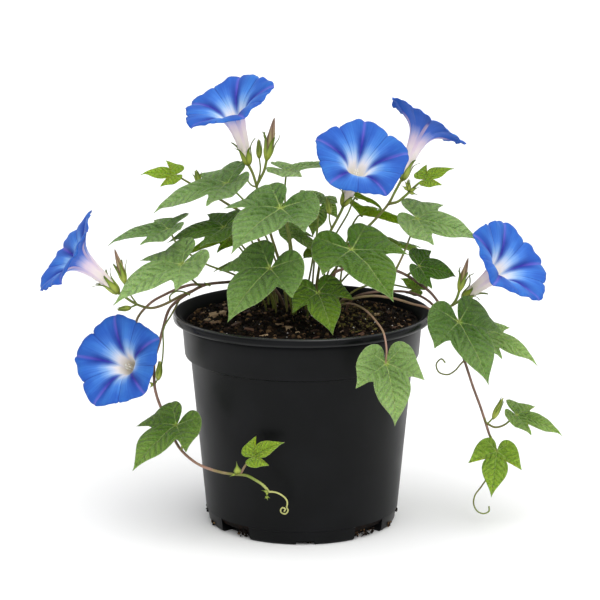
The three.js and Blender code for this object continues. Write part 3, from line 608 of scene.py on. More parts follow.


# Moulded polypropylene, black and satin. Handling leaves a faint haze in patches 40 mm wide. The
# mould's grain is finer than 0.5 mm and is drawn at 0.8 mm so that it shows. The lip is worn
# smoother. Its reflectivity is raised along its top and lower edges as painted highlights and cut
# on its underside as painted shade, and the inner wall is dulled by compost dust.
def pot_plastic(name, settings, dusty):
    material, node = new_material(name, 0.4, IOR=1.49, Specular_IOR_Level=0.12)
    where = node("TexCoord").outputs["Object"]
    haze = node("TexNoise", Vector=where, Scale=1 / (40 * MM), Detail=5)
    grain = node("TexNoise", Vector=where, Scale=1 / (0.8 * MM))
    tone = node("MapRange", haze, 0.45, 0.8)
    rough = node("MapRange", haze, 0.3, 0.8, *((0.85, 0.95) if dusty else (0.33, 0.48)))
    height = node("SeparateXYZ", where).outputs[2]
    rough = node("Math SUBTRACT", rough, node("MapRange", height, 160 * MM, 163 * MM, 0, 0.14))
    lip_highlight_and_shade = None
    if not dusty:
        height = node("MapRange", height, 150 * MM, 170 * MM)
        # Reflectivity by height: painted highlight lines at the lip's lower and top edges, painted
        # shade on its underside.
        lip_highlight_and_shade = node("ValToRGB", height, stops=[
            (0, 0.12), (0.3, 0.1), (0.44, 0.02), (0.51, 0.02), (0.55, 0.3), (0.64, 0.1),
            (0.78, 0.12), (0.83, 0.9)])
    bump = node("Bump", Strength=0.15, Distance=0.1 * MM, Height=grain)
    return finish_material(material, settings.pot_colour, [(tone, "#101113")], Normal=bump,
                           Roughness=rough, Specular_IOR_Level=lip_highlight_and_shade)


# Moist peat and composted bark: nearly black, in brown patches 7 mm wide, with fibres 1.2 mm long
# that catch the light. Each crumb has its own tone, from black through red-brown to tan.
def potting_mix(settings):
    material, node = new_material("moist_potting_mix", 0.9, Specular_IOR_Level=0.15)
    where = node("TexCoord").outputs["Object"]
    look = node("Attribute", attribute_name=TINT).outputs["Vector"]
    crumb_tone = node("SeparateXYZ", look).outputs[0]
    patches = node("TexNoise", Vector=where, Scale=1 / (7 * MM), Detail=6)
    fibres = node("TexNoise", Vector=where, Scale=1 / (1.2 * MM), Detail=6, Roughness=0.7)
    tone = node("MapRange", patches, 0.42, 0.75)
    own = node("ValToRGB", crumb_tone,
               stops=[(0, "#040302"), (0.5, "#140c07"), (0.8, "#35261a"), (1, "#8c6e4c")])
    share = node("Math MULTIPLY", node("Math GREATER_THAN", crumb_tone, 0), 0.85)
    light = node("MapRange", fibres, 0.58, 0.7, 0, 0.36)
    bump = node("Bump", Strength=1, Distance=1 * MM, Height=fibres)
    return finish_material(
        material, "#070403", [(tone, settings.soil_colour), (share, own), (light, "#6b4c30")],
        Normal=bump)


# Weathered pine bark in chips: grain 2 mm wide, each chip its own tone from red-brown to tan.
def pine_bark():
    material, node = new_material("weathered_pine_bark", 0.8)
    where = node("TexCoord").outputs["Object"]
    look = node("Attribute", attribute_name=TINT).outputs["Vector"]
    light = node("SeparateXYZ", look).outputs[0]
    grain = node("TexNoise", Vector=where, Scale=1 / (2 * MM), Detail=5)
    chip = node("ValToRGB", light, stops=[(0, "#22130b"), (0.5, "#5a3a26"), (1, "#c6a884")])
    dark = node("MapRange", grain, 0.48, 0.68, 0, 0.55)
    bump = node("Bump", Strength=0.8, Distance=0.4 * MM, Height=grain)
    return finish_material(material, chip, [(dark, "#2e1c12")], Normal=bump)


# Expanded perlite: white volcanic glass foam, dull, with pits. They are drawn at 0.7 mm to show.
def perlite():
    material, node = new_material("expanded_perlite", 0.8)
    where = node("TexCoord").outputs["Object"]
    pits = node("TexNoise", Vector=where, Scale=1 / (0.7 * MM))
    return finish_material(material, "#f4f1ea", [(pits, "#b9b2a6")])


# Cushion moss: olive tufts, brown where they are dry, in patches 4 mm wide.
def cushion_moss():
    material, node = new_material("cushion_moss", 0.9)
    where = node("TexCoord").outputs["Object"]
    dry = node("TexNoise", Vector=where, Scale=1 / (4 * MM), Detail=3)
    share = node("MapRange", dry, 0.4, 0.62)
    return finish_material(material, "#30270f", [(share, "#6c6528")])


def leaf_veins(node, place):
    """Sockets for how far a point is from a main vein, for its place between two side veins (0 at
    a vein and 0.5 midway) and for how far it is from the petiole. The unit is a blade length."""
    x, y, _ = node("SeparateXYZ", place).outputs
    point = node("CombineXYZ", x, node("Math ABSOLUTE", y))
    away = reach = None
    for along_x, along_y in LEAF_VEINS:
        reach_here = node("VectorMath DOT_PRODUCT", point, (along_x, along_y, 0))
        away_here = node("VectorMath DOT_PRODUCT", point, (along_y, -along_x, 0))
        away_here = node("Math ABSOLUTE", away_here)
        if away is None:
            away, reach = away_here, reach_here
            continue
        reach = node("Mix", Factor=node("Math LESS_THAN", away_here, away), A=reach, B=reach_here)
        away = node("Math MINIMUM", away, away_here)
    level = node("Math MULTIPLY_ADD", node("Math SIGN", y), SIDE_VEIN_SHIFT, reach)
    level = node("Math MULTIPLY_ADD", away, -SIDE_VEIN_LEAN, level)
    level = node("Math MULTIPLY_ADD", node("Math MULTIPLY", away, away), -SIDE_VEIN_BEND, level)
    beat = node("Math PINGPONG", node("Math MULTIPLY", level, SIDE_VEIN_BEAT), 0.5)
    return away, beat, node("VectorMath LENGTH", point)


# Living leaf. The upper face has a thin wax sheen. Each leaf's tone runs from pale grey-green to
# deep green, partly its own colour and partly painted light and shade by where the leaf lies. Near
# the petiole, where the lobes fold into a hollow, it is darkened as painted shade. The veins are
# sunk, pale at the petiole and then fading, with the tissue quilted up between them and the side
# veins' creases darkened a little as painted shade. The margin is paler, partly its own colour and
# partly a painted highlight where the edge catches the light. Below, the veins stand out and the
# tissue is paler. Lengths are shares of a 55 mm blade: patches 16 mm wide, mottling 3 mm and a net
# of veins 2.6 mm.
def leaf_tissue(name, settings, upper):
    material, node = new_material(
        name, 0.45 if upper else 0.65, Specular_IOR_Level=0.2 if upper else 0.1,
        Subsurface_Weight=0.3, Subsurface_Radius=(0.5, 1.0, 0.15), Subsurface_Scale=1.5 * MM,
        Sheen_Weight=0.06 if upper else 0.0, Sheen_Roughness=0.5)
    place, look = (node("Attribute", attribute_name=key).outputs["Vector"] for key in (SPOT, TINT))
    young, dark, seed = node("SeparateXYZ", look).outputs
    x, y, edge = node("SeparateXYZ", place).outputs
    away, beat, far = leaf_veins(node, place)
    own = node("CombineXYZ", x, y, seed)
    patches = node("TexNoise", Vector=own, Scale=BLADE_LENGTH / 16, Detail=4)
    fine = node("TexNoise", Vector=own, Scale=BLADE_LENGTH / 3, Detail=3)
    net = node("TexVoronoi", Vector=own, Scale=BLADE_LENGTH / 2.6, feature="DISTANCE_TO_EDGE")
    # depth is the leaf's dark value. It sets the tone from pale grey-green to deep green, partly
    # the leaf's own and partly painted light and shade.
    depth = node("MapRange", dark, -1, 1)
    if upper:
        stops = [(0, "#a9c67c"), (0.5, settings.leaf_colour), (0.78, "#567424"), (1, "#416800")]
        fresh, shade, pale, petiole_hollow_shade = "#9dbb2c", "#35580a", "#b2c678", 0.85
    else:
        stops = [(0, "#9fb554"), (0.5, "#85a232"), (1, "#648a12")]
        fresh, shade, pale, petiole_hollow_shade = "#a4c228", "#638416", "#b4c470", 0.2
    # Painted shade: darker towards the petiole, where the lobes fold into a hollow. It is stronger
    # on dark leaves and weaker on young ones.
    inner = node("Math MULTIPLY_ADD", patches, 0.5, far)
    petiole_hollow_shade = node("MapRange", depth, 0, 0.5, 0.25 * petiole_hollow_shade, petiole_hollow_shade)
    petiole_hollow_shade = node("Math MULTIPLY", petiole_hollow_shade, node("MapRange", young, 0, 1, 1, 0.3))
    inner = node("MapRange", inner, 0.3, 0.95, petiole_hollow_shade, 0)
    uneven = node("MapRange", fine, 0.5, 0.75, 0, 0.35)
    # Painted shade: the side veins' creases are darkened a little.
    groove = node("MapRange", beat, 0, 0.25, 0.14, 0)
    main = node("MapRange", away, 0.003, 0.014, 1, 0)
    fading = node("Math MULTIPLY_ADD", node("Math ABSOLUTE", y), 3, far)
    vein = node("Math MULTIPLY", main, node("MapRange", fading, 0, 1.1, 0.75, 0.1))
    joint = node("MapRange", far, 0.01, 0.07, 0.6, 0)
    # A paler margin, partly its own colour and partly a painted highlight where the edge catches
    # the light.
    rim = node("MapRange", edge, 0.975, 1, 0, 0.5)
    quilt = node("MapRange", beat, 0, 0.4, interpolation_type="SMOOTHSTEP")
    height = node("Math ADD", quilt, node("MapRange", net, 0, 0.3, 0, 0.5))
    height = node("Math MULTIPLY_ADD", fine, 1.2, height)
    height = node("Math MULTIPLY_ADD", main, -0.3, height)
    bump = node("Bump", Strength=1, Distance=1.3 * MM, Height=height, invert=not upper)
    layers = [(young, fresh), (inner, shade), (uneven, shade), (groove, shade), (vein, pale),
              (joint, "#a4b542"), (rim, "#9db07c")]
    return finish_material(material, node("ValToRGB", depth, stops=stops), layers, Normal=bump)


# Twining shoot: yellow-green and smooth at the tip, olive further down, then brown-purple bark in
# patches 14 mm long, with long fibres, 2 mm apart round the shoot.
def shoot_bark(settings):
    material, node = new_material("shoot_bark", 0.55)
    place, look = (node("Attribute", attribute_name=key).outputs["Vector"] for key in (SPOT, TINT))
    age = node("SeparateXYZ", look).outputs[0]
    where = node("TexCoord").outputs["Object"]
    patches = node("TexNoise", Vector=where, Scale=1 / (14 * MM), Detail=4)
    worn = node("Math ADD", age, node("Math MULTIPLY_ADD", patches, 0.7, -0.35))
    tone = node("ValToRGB", worn, stops=[(0, "#748a2a"), (0.3, "#737334"), (0.62, "#a17c6c"),
                                         (0.95, settings.bark_colour)])
    pale = node("MapRange", age, -0.3, 0, 0.8, 0)
    stretched = node("VectorMath MULTIPLY", place, (2, 2, 0.2))
    fibre = node("TexNoise", Vector=stretched, Scale=1, Detail=4)
    streak = node("MapRange", fibre, 0.4, 0.7, 0, 0.35)
    bump = node("Bump", Strength=0.5, Distance=0.3 * MM, Height=fibre)
    return finish_material(material, tone, [(pale, "#c3c27a"), (streak, "#4d3f22")], Normal=bump)


# Sepal and bract: firm green tissue, straw at the foot and in the middle, dark green along its
# edges and tip, with ribs along it.
def sepal_tissue():
    material, node = new_material("sepal_tissue", 0.5)
    place = node("Attribute", attribute_name=SPOT).outputs["Vector"]
    across, up, _ = node("SeparateXYZ", place).outputs
    tone = node("ValToRGB", up,
                stops=[(0, "#74801e"), (0.25, "#a0ac44"), (0.55, "#7f9428"), (1, "#5a701e")])
    edge = node("Math ABSOLUTE", node("Math SUBTRACT", across, 0.5))
    green = node("MapRange", edge, 0.22, 0.45, 0, 0.8)
    ribs = node("Math PINGPONG", node("Math MULTIPLY", across, 5), 0.5)
    bump = node("Bump", Strength=0.5, Distance=0.3 * MM, Height=ribs)
    return finish_material(material, tone, [(green, "#56691a")], Normal=bump)


# Rolled bud: the petals' bands show as twisted stripes, straw at the foot, brown-mauve at the tip.
def rolled_bud():
    material, node = new_material("rolled_bud_tissue", 0.55)
    place = node("Attribute", attribute_name=SPOT).outputs["Vector"]
    pleat, up, _ = node("SeparateXYZ", place).outputs
    tone = node("ValToRGB", up,
                stops=[(0.2, "#a0ac4a"), (0.5, "#a59a62"), (0.8, "#977a66"), (1, "#705648")])
    stripe = node("MapRange", pleat, 0.16, 0.34, 0, 0.85)
    bump = node("Bump", Strength=0.5, Distance=0.4 * MM, Height=pleat)
    return finish_material(material, tone, [(stripe, "#6b5236")], Normal=bump)


# Petal: soft, matt tissue that lets light through, with streaks 1.2 mm apart at the margin. Inside,
# a cream throat glows out into the blue, furthest between the rays. Each ray starts as a dark
# violet band in a broad crease that is darkened to navy as painted shade, and thins to a mauve line
# at the margin, and a dark seam runs between two petals. Outside, the tube is cream and blushes
# pink, and each ray is a pale spear with violet edges.
def petal_tissue(name, settings, inside):
    material, node = new_material(
        name, 0.6, Sheen_Weight=0.05, Sheen_Roughness=0.5, Specular_IOR_Level=0.15,
        Subsurface_Weight=0.35, Subsurface_Radius=(0.6, 0.7, 1.0), Subsurface_Scale=2 * MM)
    place = node("Attribute", attribute_name=SPOT).outputs["Vector"]
    ray, share, _ = node("SeparateXYZ", place).outputs
    compass = node("Attribute", attribute_name=TINT).outputs["Vector"]
    streaked = node("VectorMath MULTIPLY", compass, (PETAL_LENGTH / 1.2, PETAL_LENGTH / 1.2, 1.5))
    streaks = node("TexNoise", Vector=streaked, Scale=1, Detail=5)
    clouds = node("TexNoise", Vector=compass, Scale=2.2, Detail=3)
    near_ray = node("MapRange", ray, 0, 0.3, 0.06, -0.03, interpolation_type="SMOOTHSTEP")
    ragged = node("Math MULTIPLY_ADD", streaks, 0.14, share)
    ragged = node("Math SUBTRACT", ragged, 0.05)
    ragged = node("Math ADD", ragged, near_ray)
    if inside:
        stops = [(0, "#f0e8c0"), (0.4, "#f2ead8"), (0.53, "#ece6e6"), (0.6, "#bccae4"),
                 (0.67, "#7ea6d8"), (0.76, "#447bca"), (0.88, "#2c62b8")]
        far = node("MapRange", share, 0.7, 0.85)
        cloud = node("Math MULTIPLY", node("MapRange", clouds, 0.45, 0.7, 0, 0.45), far)
        clear = node("Math MULTIPLY", node("MapRange", clouds, 0.3, 0.52, 0.4, 0), far)
        # Painted shade: the broad crease round each ray is darkened to navy.
        fold = node("MapRange", ray, 0.02, 0.3, 1, 0, interpolation_type="SMOOTHSTEP")
        life = node("ValToRGB", share, stops=[(0.52, 0), (0.65, 0.9), (0.78, 0.85), (0.94, 0)])
        fold = node("Math MULTIPLY", fold, life)
        width = node("ValToRGB", share, stops=[(0.5, 0.025), (0.62, 0.05), (0.74, 0.07),
                                               (0.88, 0.06), (1, 0.035)])
        life = node("ValToRGB", share, stops=[(0.5, 0), (0.62, 0.9), (0.85, 0.9), (1, 0.6)])
        band = node("Math MULTIPLY", node("MapRange", ray, 0, width, 1, 0), life)
        violet = node("ValToRGB", share, stops=[(0.6, "#4a3a96"), (0.72, settings.ray_colour),
                                                (0.84, "#6254b8"), (1, "#766ec8")])
        seam = node("MapRange", ray, 0.482, 0.494, 0, 0.75)
        seam = node("Math MULTIPLY", seam, node("MapRange", share, 0.58, 0.75))
        layers = [(cloud, "#1a439a"), (clear, "#3f86c8"), (fold, "#16207e"), (band, violet),
                  (seam, "#223f8f")]
    else:
        stops = [(0, "#d3d19a"), (0.16, "#e8dfd0"), (0.38, "#efdfe4"), (0.5, "#dcc8de"),
                 (0.58, "#9aa2d8"), (0.66, "#4a70c8"), (0.85, "#3463bd")]
        width = node("MapRange", share, 0.38, 0.84, 0.17, 0)
        edge = node("Math ADD", width, 0.03)
        life = node("ValToRGB", share, stops=[(0.48, 0), (0.62, 0.7), (0.84, 0.6), (0.95, 0)])
        violet = node("Math MULTIPLY", node("Math LESS_THAN", ray, edge), life)
        life = node("ValToRGB", share, stops=[(0.15, 0), (0.45, 0.6), (0.76, 0.8), (0.84, 0)])
        spear = node("Math MULTIPLY", node("MapRange", ray, edge, width, 0, 0.85), life)
        layers = [(violet, "#3a3aa2"), (spear, "#dcc6d8")]
    base = node("ValToRGB", ragged, stops=[*stops, (1, settings.petal_colour)])
    veil = node("MapRange", streaks, 0.35, 0.75, 0, 0.35)
    veil = node("Math MULTIPLY", veil, node("MapRange", share, 0.6, 0.85))
    bump = node("Bump", Strength=0.35, Distance=0.4 * MM, Height=streaks)
    return finish_material(material, base, [*layers, (veil, "#1f469c")], Normal=bump)


# Pollen and stigma: cream and powdery. The grains are drawn at 0.4 mm to show.
def pollen():
    material, node = new_material("cream_pollen", 0.9)
    where = node("TexCoord").outputs["Object"]
    powder = node("TexNoise", Vector=where, Scale=1 / (0.4 * MM))
    return finish_material(material, "#fffdf4", [(powder, "#ece6cc")])


# ---- pot --------------------------------------------------------------------------------------

def build_pot(settings):
    """Spins the pot's profile and cuts the drain slots out of its foot."""
    mesh = bpy.data.meshes.new("pot_profile")
    points = [(radius * MM, 0, height * MM) for radius, height in POT_PROFILE]
    mesh.from_pydata(points, [(i, i + 1) for i in range(len(points) - 1)], [])
    pot = new_object("pot_shell", mesh)
    choose(pot)
    edit(spin={"steps": POT_TURNS, "angle": math.tau, "center": (0, 0, 0), "axis": (0, 0, 1)},
         remove_doubles={"threshold": WELD}, normals_make_consistent={"inside": False})
    for (first, height, width, inner, outer), i in itertools.product(SLOTS, range(4)):
        angle = math.radians(first + 90 * i)
        middle = polar((inner + outer) / 2 * MM, angle, (height - 1) / 2 * MM)
        bpy.ops.object.select_all(action="DESELECT")
        bpy.ops.mesh.primitive_cube_add(size=1, rotation=(0, 0, angle), location=middle)
        cutter = bpy.context.object
        cutter.scale = ((outer - inner) * MM, width * MM, (height + 1) * MM)
        bpy.context.view_layer.update()
        choose(pot)
        cut = pot.modifiers.new("drain_slot", "BOOLEAN")
        cut.operation = "DIFFERENCE"
        cut.solver = "EXACT"
        cut.object = cutter
        bpy.ops.object.modifier_apply(modifier=cut.name)
        bpy.data.objects.remove(cutter)
    choose(pot)
    bpy.ops.object.shade_smooth_by_angle(angle=math.radians(40))
    pot.data.materials.append(pot_plastic("moulded_black_polypropylene", settings, False))
    pot.data.materials.append(pot_plastic("dusty_black_polypropylene", settings, True))
    for face in pot.data.polygons:
        if face.center.xy.dot(face.normal.xy) < 0 and face.center.z > POT_FLOOR * MM:
            face.material_index = 1
    finished(pot, "pot_plastic", "pot")


# ---- soil -------------------------------------------------------------------------------------

def soil_height(x, y):
    """Height of the soil's surface in millimetres."""
    radius = math.hypot(x, y)
    crown = SOIL_CROWN * math.cos(math.pi / 2 * min(1, radius / CROWN_RADIUS))
    lumps = math.sin(0.21 * x + 1) * math.cos(0.17 * y) + math.sin(0.13 * x - 0.24 * y)
    rough = noise.fractal(Vector((x, y, 0)) * 0.13, 0.9, 2.1, 4)
    fade = 1 - eased(LUMPS_END, SOIL_RADIUS, radius)
    return SOIL_EDGE + crown + fade * (SOIL_LUMP * lumps * 0.5 + SOIL_ROUGHNESS * rough)


def on_soil(x, y, lift, size, tone=0):
    """A spot for scattered() whose middle is that far above the soil's surface."""
    return x, y, soil_height(x, y) + lift, size, tone


def scattered(name, spots, shape, draw, material):
    """One piece made of small lumps. Each spot is x, y, height, size and a tone from 0 to 1."""
    body = bmesh.new()
    layer = body.verts.layers.float_vector.new(TINT)
    for x, y, z, size, tone in spots:
        start = len(body.verts)
        shape(draw, body, Matrix.Translation(Vector((x, y, z)) * MM), size * MM)
        body.verts.ensure_lookup_table()
        for vertex in body.verts[start:]:
            vertex[layer] = (tone, 0, 0)
    mesh = bpy.data.meshes.new(name)
    body.to_mesh(mesh)
    body.free()
    mesh.materials.append(material)
    finished(new_object(name, mesh), "potting_soil")


def crumb(draw, body, place, size):
    """A crooked pebble."""
    turn = Matrix.Rotation(draw.uniform(0, 6.3), 4, Vector((draw.random(), draw.random(), 1)))
    stretch = Matrix.Diagonal((1, draw.uniform(0.6, 1), draw.uniform(0.5, 0.9), 1))
    made = bmesh.ops.create_icosphere(body, subdivisions=1, radius=size,
                                      matrix=place @ turn @ stretch)
    for vertex in made["verts"]:
        vertex.co += (vertex.co - place.translation) * draw.uniform(-0.3, 0.3)


def chip(draw, body, place, size):
    """A flat crooked flake, longer than wide, that lies nearly level."""
    turn = Matrix.Rotation(draw.uniform(0, 3.2), 4, "Z")
    tilt = Matrix.Rotation(draw.uniform(-0.45, 0.45), 4, "X")
    roll = Matrix.Rotation(draw.uniform(-0.35, 0.35), 4, "Y")
    stretch = Matrix.Diagonal((1, draw.uniform(0.35, 0.7), draw.uniform(0.12, 0.22), 1))
    made = bmesh.ops.create_cube(body, size=2 * size, matrix=place @ turn @ tilt @ roll @ stretch)
    for vertex in made["verts"]:
        vertex.co += Vector([draw.uniform(-0.25, 0.25) * size for _ in range(3)]) * 0.8


def twig(draw, body, place, size):
    """A thin dry stalk that sticks up out of the soil."""
    lean = Matrix.Rotation(draw.uniform(-1.3, 1.3), 4, "X")
    turn = Matrix.Rotation(draw.uniform(0, 6.3), 4, "Z")
    thin = Matrix.Diagonal((0.05, 0.05, 1, 1))
    bmesh.ops.create_cone(body, segments=5, radius1=size, radius2=0.3 * size, depth=2 * size,
                          cap_ends=True, matrix=place @ turn @ lean @ thin)


def build_soil(settings):
    """Fills the pot with soil and strews crumbs, chips, perlite, moss and stalks on it."""
    draw = random.Random(7)
    top_rows = SOIL_ROWS - len(SOIL_WALL)
    mix = potting_mix(settings)

    def place(u, v):
        row = round(v * SOIL_ROWS)
        if row > top_rows:
            radius, z = SOIL_WALL[row - top_rows - 1]
            return polar(radius, math.tau * u, z)
        x, y, _ = polar(SOIL_RADIUS * row / top_rows, math.tau * u)
        return x, y, soil_height(x, y)

    soil = shaped_grid("soil_bed", SOIL_COLUMNS, SOIL_ROWS, place, [mix])
    edit(normals_make_consistent={"inside": False})
    finished(soil, "potting_soil", "soil")

    def somewhere(reach):
        turn = draw.uniform(0, math.tau)
        return polar(reach * math.sqrt(draw.random()), turn)[:2]

    spots = []
    for _ in range(settings.crumb_count):
        x, y = somewhere(SOIL_RADIUS - 2)
        size = draw.uniform(0.5, 1) ** 2 * CRUMB_SIZE
        spots.append(on_soil(x, y, 0.3 * size, size, 0.02 + 0.98 * draw.random() ** 1.8))
    for middle, half, low, high, near, far, count in SPILLS:
        for _ in range(count):
            angle = math.radians(middle + draw.uniform(-half, half))
            where = polar(draw.uniform(near, far), angle, draw.uniform(low, high))
            spots.append((*where, draw.uniform(0.6, 1.4), 0.02 + 0.98 * draw.random() ** 2))
    scattered("soil_crumbs", spots, crumb, draw, mix)

    spots = [on_soil(x, y, 0.7, size, light) for x, y, size, light in CHIPS]
    spots += [on_soil(*somewhere(SOIL_RADIUS - 6), 0.4, draw.uniform(1.2, 3.2), draw.random() ** 2)
              for _ in range(settings.chip_count)]
    scattered("bark_chips", spots, chip, draw, pine_bark())

    spots = [on_soil(x, y, 0.6, 0.9) for x, y in PERLITE]
    spots += [on_soil(*somewhere(SOIL_RADIUS - 4), 0.3, draw.uniform(0.35, 0.75))
              for _ in range(PERLITE_GRAINS)]
    scattered("perlite_grains", spots, crumb, draw, perlite())

    spots = []
    for _ in range(MOSS_TRIES):
        x, y = (middle + reach * share
                for middle, reach, share in zip(MOSS_PLACE, MOSS_REACH, somewhere(1)))
        if noise.noise(Vector((x, y, 3)) * 0.12) > -0.12:
            spots.append(on_soil(x, y, 0.5, draw.uniform(0.5, 1.2)))
    scattered("moss_tufts", spots, crumb, draw, cushion_moss())

    spots = []
    for _ in range(STALK_TRIES):
        x, y = draw.gauss(22, 26), draw.gauss(2, 16)
        if math.hypot(x, y) < SOIL_RADIUS - 8:
            spots.append(on_soil(x, y, 2, draw.uniform(2, 5), draw.uniform(0.4, 1)))
    scattered("dry_stalks", spots, twig, draw, mix)


# ---- leaves -----------------------------------------------------------------------------------

def outline(youth):
    """The outline of a blade, from the petiole round the left side to it again, cut deeper the
    younger the leaf is."""
    half = []
    for grown, young in zip(MATURE_OUTLINE, YOUNG_OUTLINE):
        bend = [Vector((*a, 0)).lerp(Vector((*b, 0)), youth) for a, b in zip(grown, young)]
        half += interpolate_bezier(*bend, CURVE_POINTS)[:-1]
    half = [Vector((p.x, p.y)) for p in half] + [Vector((1, 0))]
    return half + [Vector((p.x, -p.y)) for p in reversed(half[:-1])]


def vein_beat(x, y):
    """How far a point is from the nearest main vein, and its place between two side veins."""
    height = abs(y)
    away, reach = min((abs(x * dy - height * dx), x * dx + height * dy) for dx, dy in LEAF_VEINS)
    level = (reach + math.copysign(SIDE_VEIN_SHIFT, y) - SIDE_VEIN_LEAN * away
             - SIDE_VEIN_BEND * away * away)
    return away, abs((level * SIDE_VEIN_BEAT + 0.5) % 1 - 0.5)


def build_leaf(name, leaf, seed, materials):
    """One blade with its veins sunk into it and the tissue quilted between, and its petiole."""
    junction, tip = Vector(leaf.junction), Vector(leaf.tip)
    length = (tip - junction).length
    ahead = (tip - junction).normalized()
    left = Vector((0, 0, 1)).cross(ahead).normalized()
    left.rotate(Matrix.Rotation(math.radians(leaf.roll), 3, ahead))
    up = ahead.cross(left)
    widen = leaf.width / BLADE_LOBE
    edge = outline(leaf.young)

    def flat(u, v):
        return BLADE_CENTRE.lerp(along(edge, u), v)

    def place(u, v):
        x, y = flat(u, v)
        # The blade arches along its midrib, folds and droops across it, and cups at its base.
        arch = BLADE_ARCH * x * (1 - x) if x > 0 else -BLADE_CUP * x
        bow = leaf.fold * abs(y) * (1 - abs(y)) - BLADE_DROOP * y * y
        # The tissue rises between the side veins and sinks at the main ones.
        away, beat = vein_beat(x, y)
        pillow = BLADE_QUILT * (1 - (1 - 2 * beat) ** 2) * eased(0.01, 0.12, away)
        pillow *= 1 - 0.9 * v ** 3
        gutter = -BLADE_GUTTER * math.exp(-(away / 0.03) ** 2)
        # It puckers all over and waves at its edge, otherwise on each leaf.
        spot = Vector((x, y, 0.7 * seed))
        pucker = 0.005 * (1 - v ** 3) * noise.noise(spot * 18)
        pucker += BLADE_PUCKER * noise.noise(spot * 4)
        wave = 0.006 * math.sin(8 * math.pi * u + seed) + BLADE_WAVE * noise.noise(spot * 2.2)
        height = arch + bow + pillow + gutter + pucker + v ** 3 * wave
        return junction + length * (x * ahead + y * widen * left + height * up)

    blade = shaped_grid("blade", len(edge) - 1, BLADE_ROWS, place, materials,
                        lambda u, v: (*flat(u, v), v), (leaf.young, leaf.dark, seed))
    thicken(blade, BLADE_WALL, inner=1)
    seat = [tuple(junction - up), tuple(junction + 2.5 * ahead - 1.6 * up)]
    ages = leaf.petiole_ages or (0.3 - 0.25 * leaf.young, 0.2, 0.0)
    petiole = shoot([*leaf.petiole, *seat], PETIOLE_RADIUS, ages, seed, materials[2])
    whole = joined(f"{name}_blade_and_petiole", [blade, petiole])
    finished(whole, "young_leaf" if leaf.young == 1 else "mature_leaf", name)


# ---- calyxes, buds and sprouts ----------------------------------------------------------------

def build_scale(foot, direction, profile, turn, flare, seed, material):
    """One sepal or bract round an axis. Its profile gives distance out, height, half width."""
    round_axis = facing_turn(direction)
    curve = smooth(profile, 1.2)
    middle = profile[len(profile) // 2][1]

    def place(u, v):
        out, z, wide = along(curve, v)
        out += flare * max(0, z - middle)
        across = (u - 0.5) * 2
        swing = turn + across * wide / max(out, 1.5)
        ridge = 0.3 * (1 - abs(across)) * min(1, wide)
        return foot + round_axis @ Vector(polar(out + ridge, swing, z))

    return thicken(shaped_grid("scale", 6, 14, place, [material], lambda u, v: (u, v, 0),
                               (0, 0, seed)), 0.3)


def build_calyx(foot, direction, size, seed, material):
    """The cup and the five sepals at the foot of an open flower."""
    draw = random.Random(seed)
    foot = Vector(foot)
    turn = facing_turn(direction)

    def place(u, v):
        radius, z = CALYX_CUP[round(v * (len(CALYX_CUP) - 1))]
        return foot + turn @ (size * Vector(polar(radius, math.tau * u, z)))

    pieces = [shaped_grid("cup", 14, len(CALYX_CUP) - 1, place, [material], (0.5, 0, 0),
                          (0, 0, seed))]
    for i in range(SEPALS):
        longer = draw.uniform(0.85, 1.15)
        profile = [(size * out, size * (z * longer if z > 0 else z), size * wide)
                   for out, z, wide in OPEN_SEPAL]
        swing = math.tau * (i + draw.random() / 4) / SEPALS
        pieces.append(build_scale(foot, direction, profile, swing, draw.uniform(-0.2, 0.3), seed,
                                  material))
    return pieces


def build_bud(foot, tip, radius, seed, materials):
    """A closed bud, its petals rolled round each other, held by its sepals."""
    draw = random.Random(seed)
    base = Vector(foot)
    axis = Vector(tip) - base
    length = axis.length
    turn = facing_turn(axis)
    grown = radius > GROWN_BUD

    def pleat(u, v):
        return abs((u * PETALS + BUD_TWIST * v) % 1 - 0.5)

    def place(u, v):
        wide = radius * along(BUD_WIDTHS, v) * (0.9 + 0.3 * pleat(u, v))
        return base + turn @ Vector(polar(wide, math.tau * u, length * v - 0.5 * (1 - v)))

    def spot(u, v):
        return (pleat(u, v), v, 0) if grown else (0.1, 0.3 * v, 0)

    pieces = [shaped_grid("bud", 30, 24, place, [materials["bud"]], spot, (0, 0, seed))]
    covered, splay = (0.66, 0.45) if grown else (1.0, 0.12)
    for i in range(SEPALS):
        longer = draw.uniform(0.85, 1.0) * covered
        profile = []
        for share, wide in BUD_SEPAL:
            height = share * longer
            held = radius * along(BUD_WIDTHS, height) + 0.25
            loose = splay * length * max(0, share - 0.55) ** 1.5 * draw.uniform(0.6, 1.4)
            profile.append((max(held + loose, 0.4), height * length - 1.6 * (1 - share) ** 4,
                            radius * wide))
        pieces.append(build_scale(base, axis, profile, math.tau * i / SEPALS, 0, seed,
                                  materials["sepal"]))
    return pieces


def build_sprout(foot, tip, half, seed, material):
    """A small pointed leaf, folded along its middle, with its face to the front."""
    start, way = Vector(foot), Vector(tip) - Vector(foot)
    side = way.cross(Vector((0, -1, 0))).normalized()
    face = side.cross(way).normalized()

    def place(u, v):
        across = 2 * u - 1
        wide = half * along(SPROUT_WIDTHS, v)
        lift = 0.5 * wide * abs(across) + 0.12 * way.length * v * v
        return start + v * way + across * wide * side + lift * face

    return thicken(shaped_grid("sprout", 6, 10, place, [material], lambda u, v: (u, v, 0),
                               (0, 0, seed)), 0.35)


# ---- stems ------------------------------------------------------------------------------------

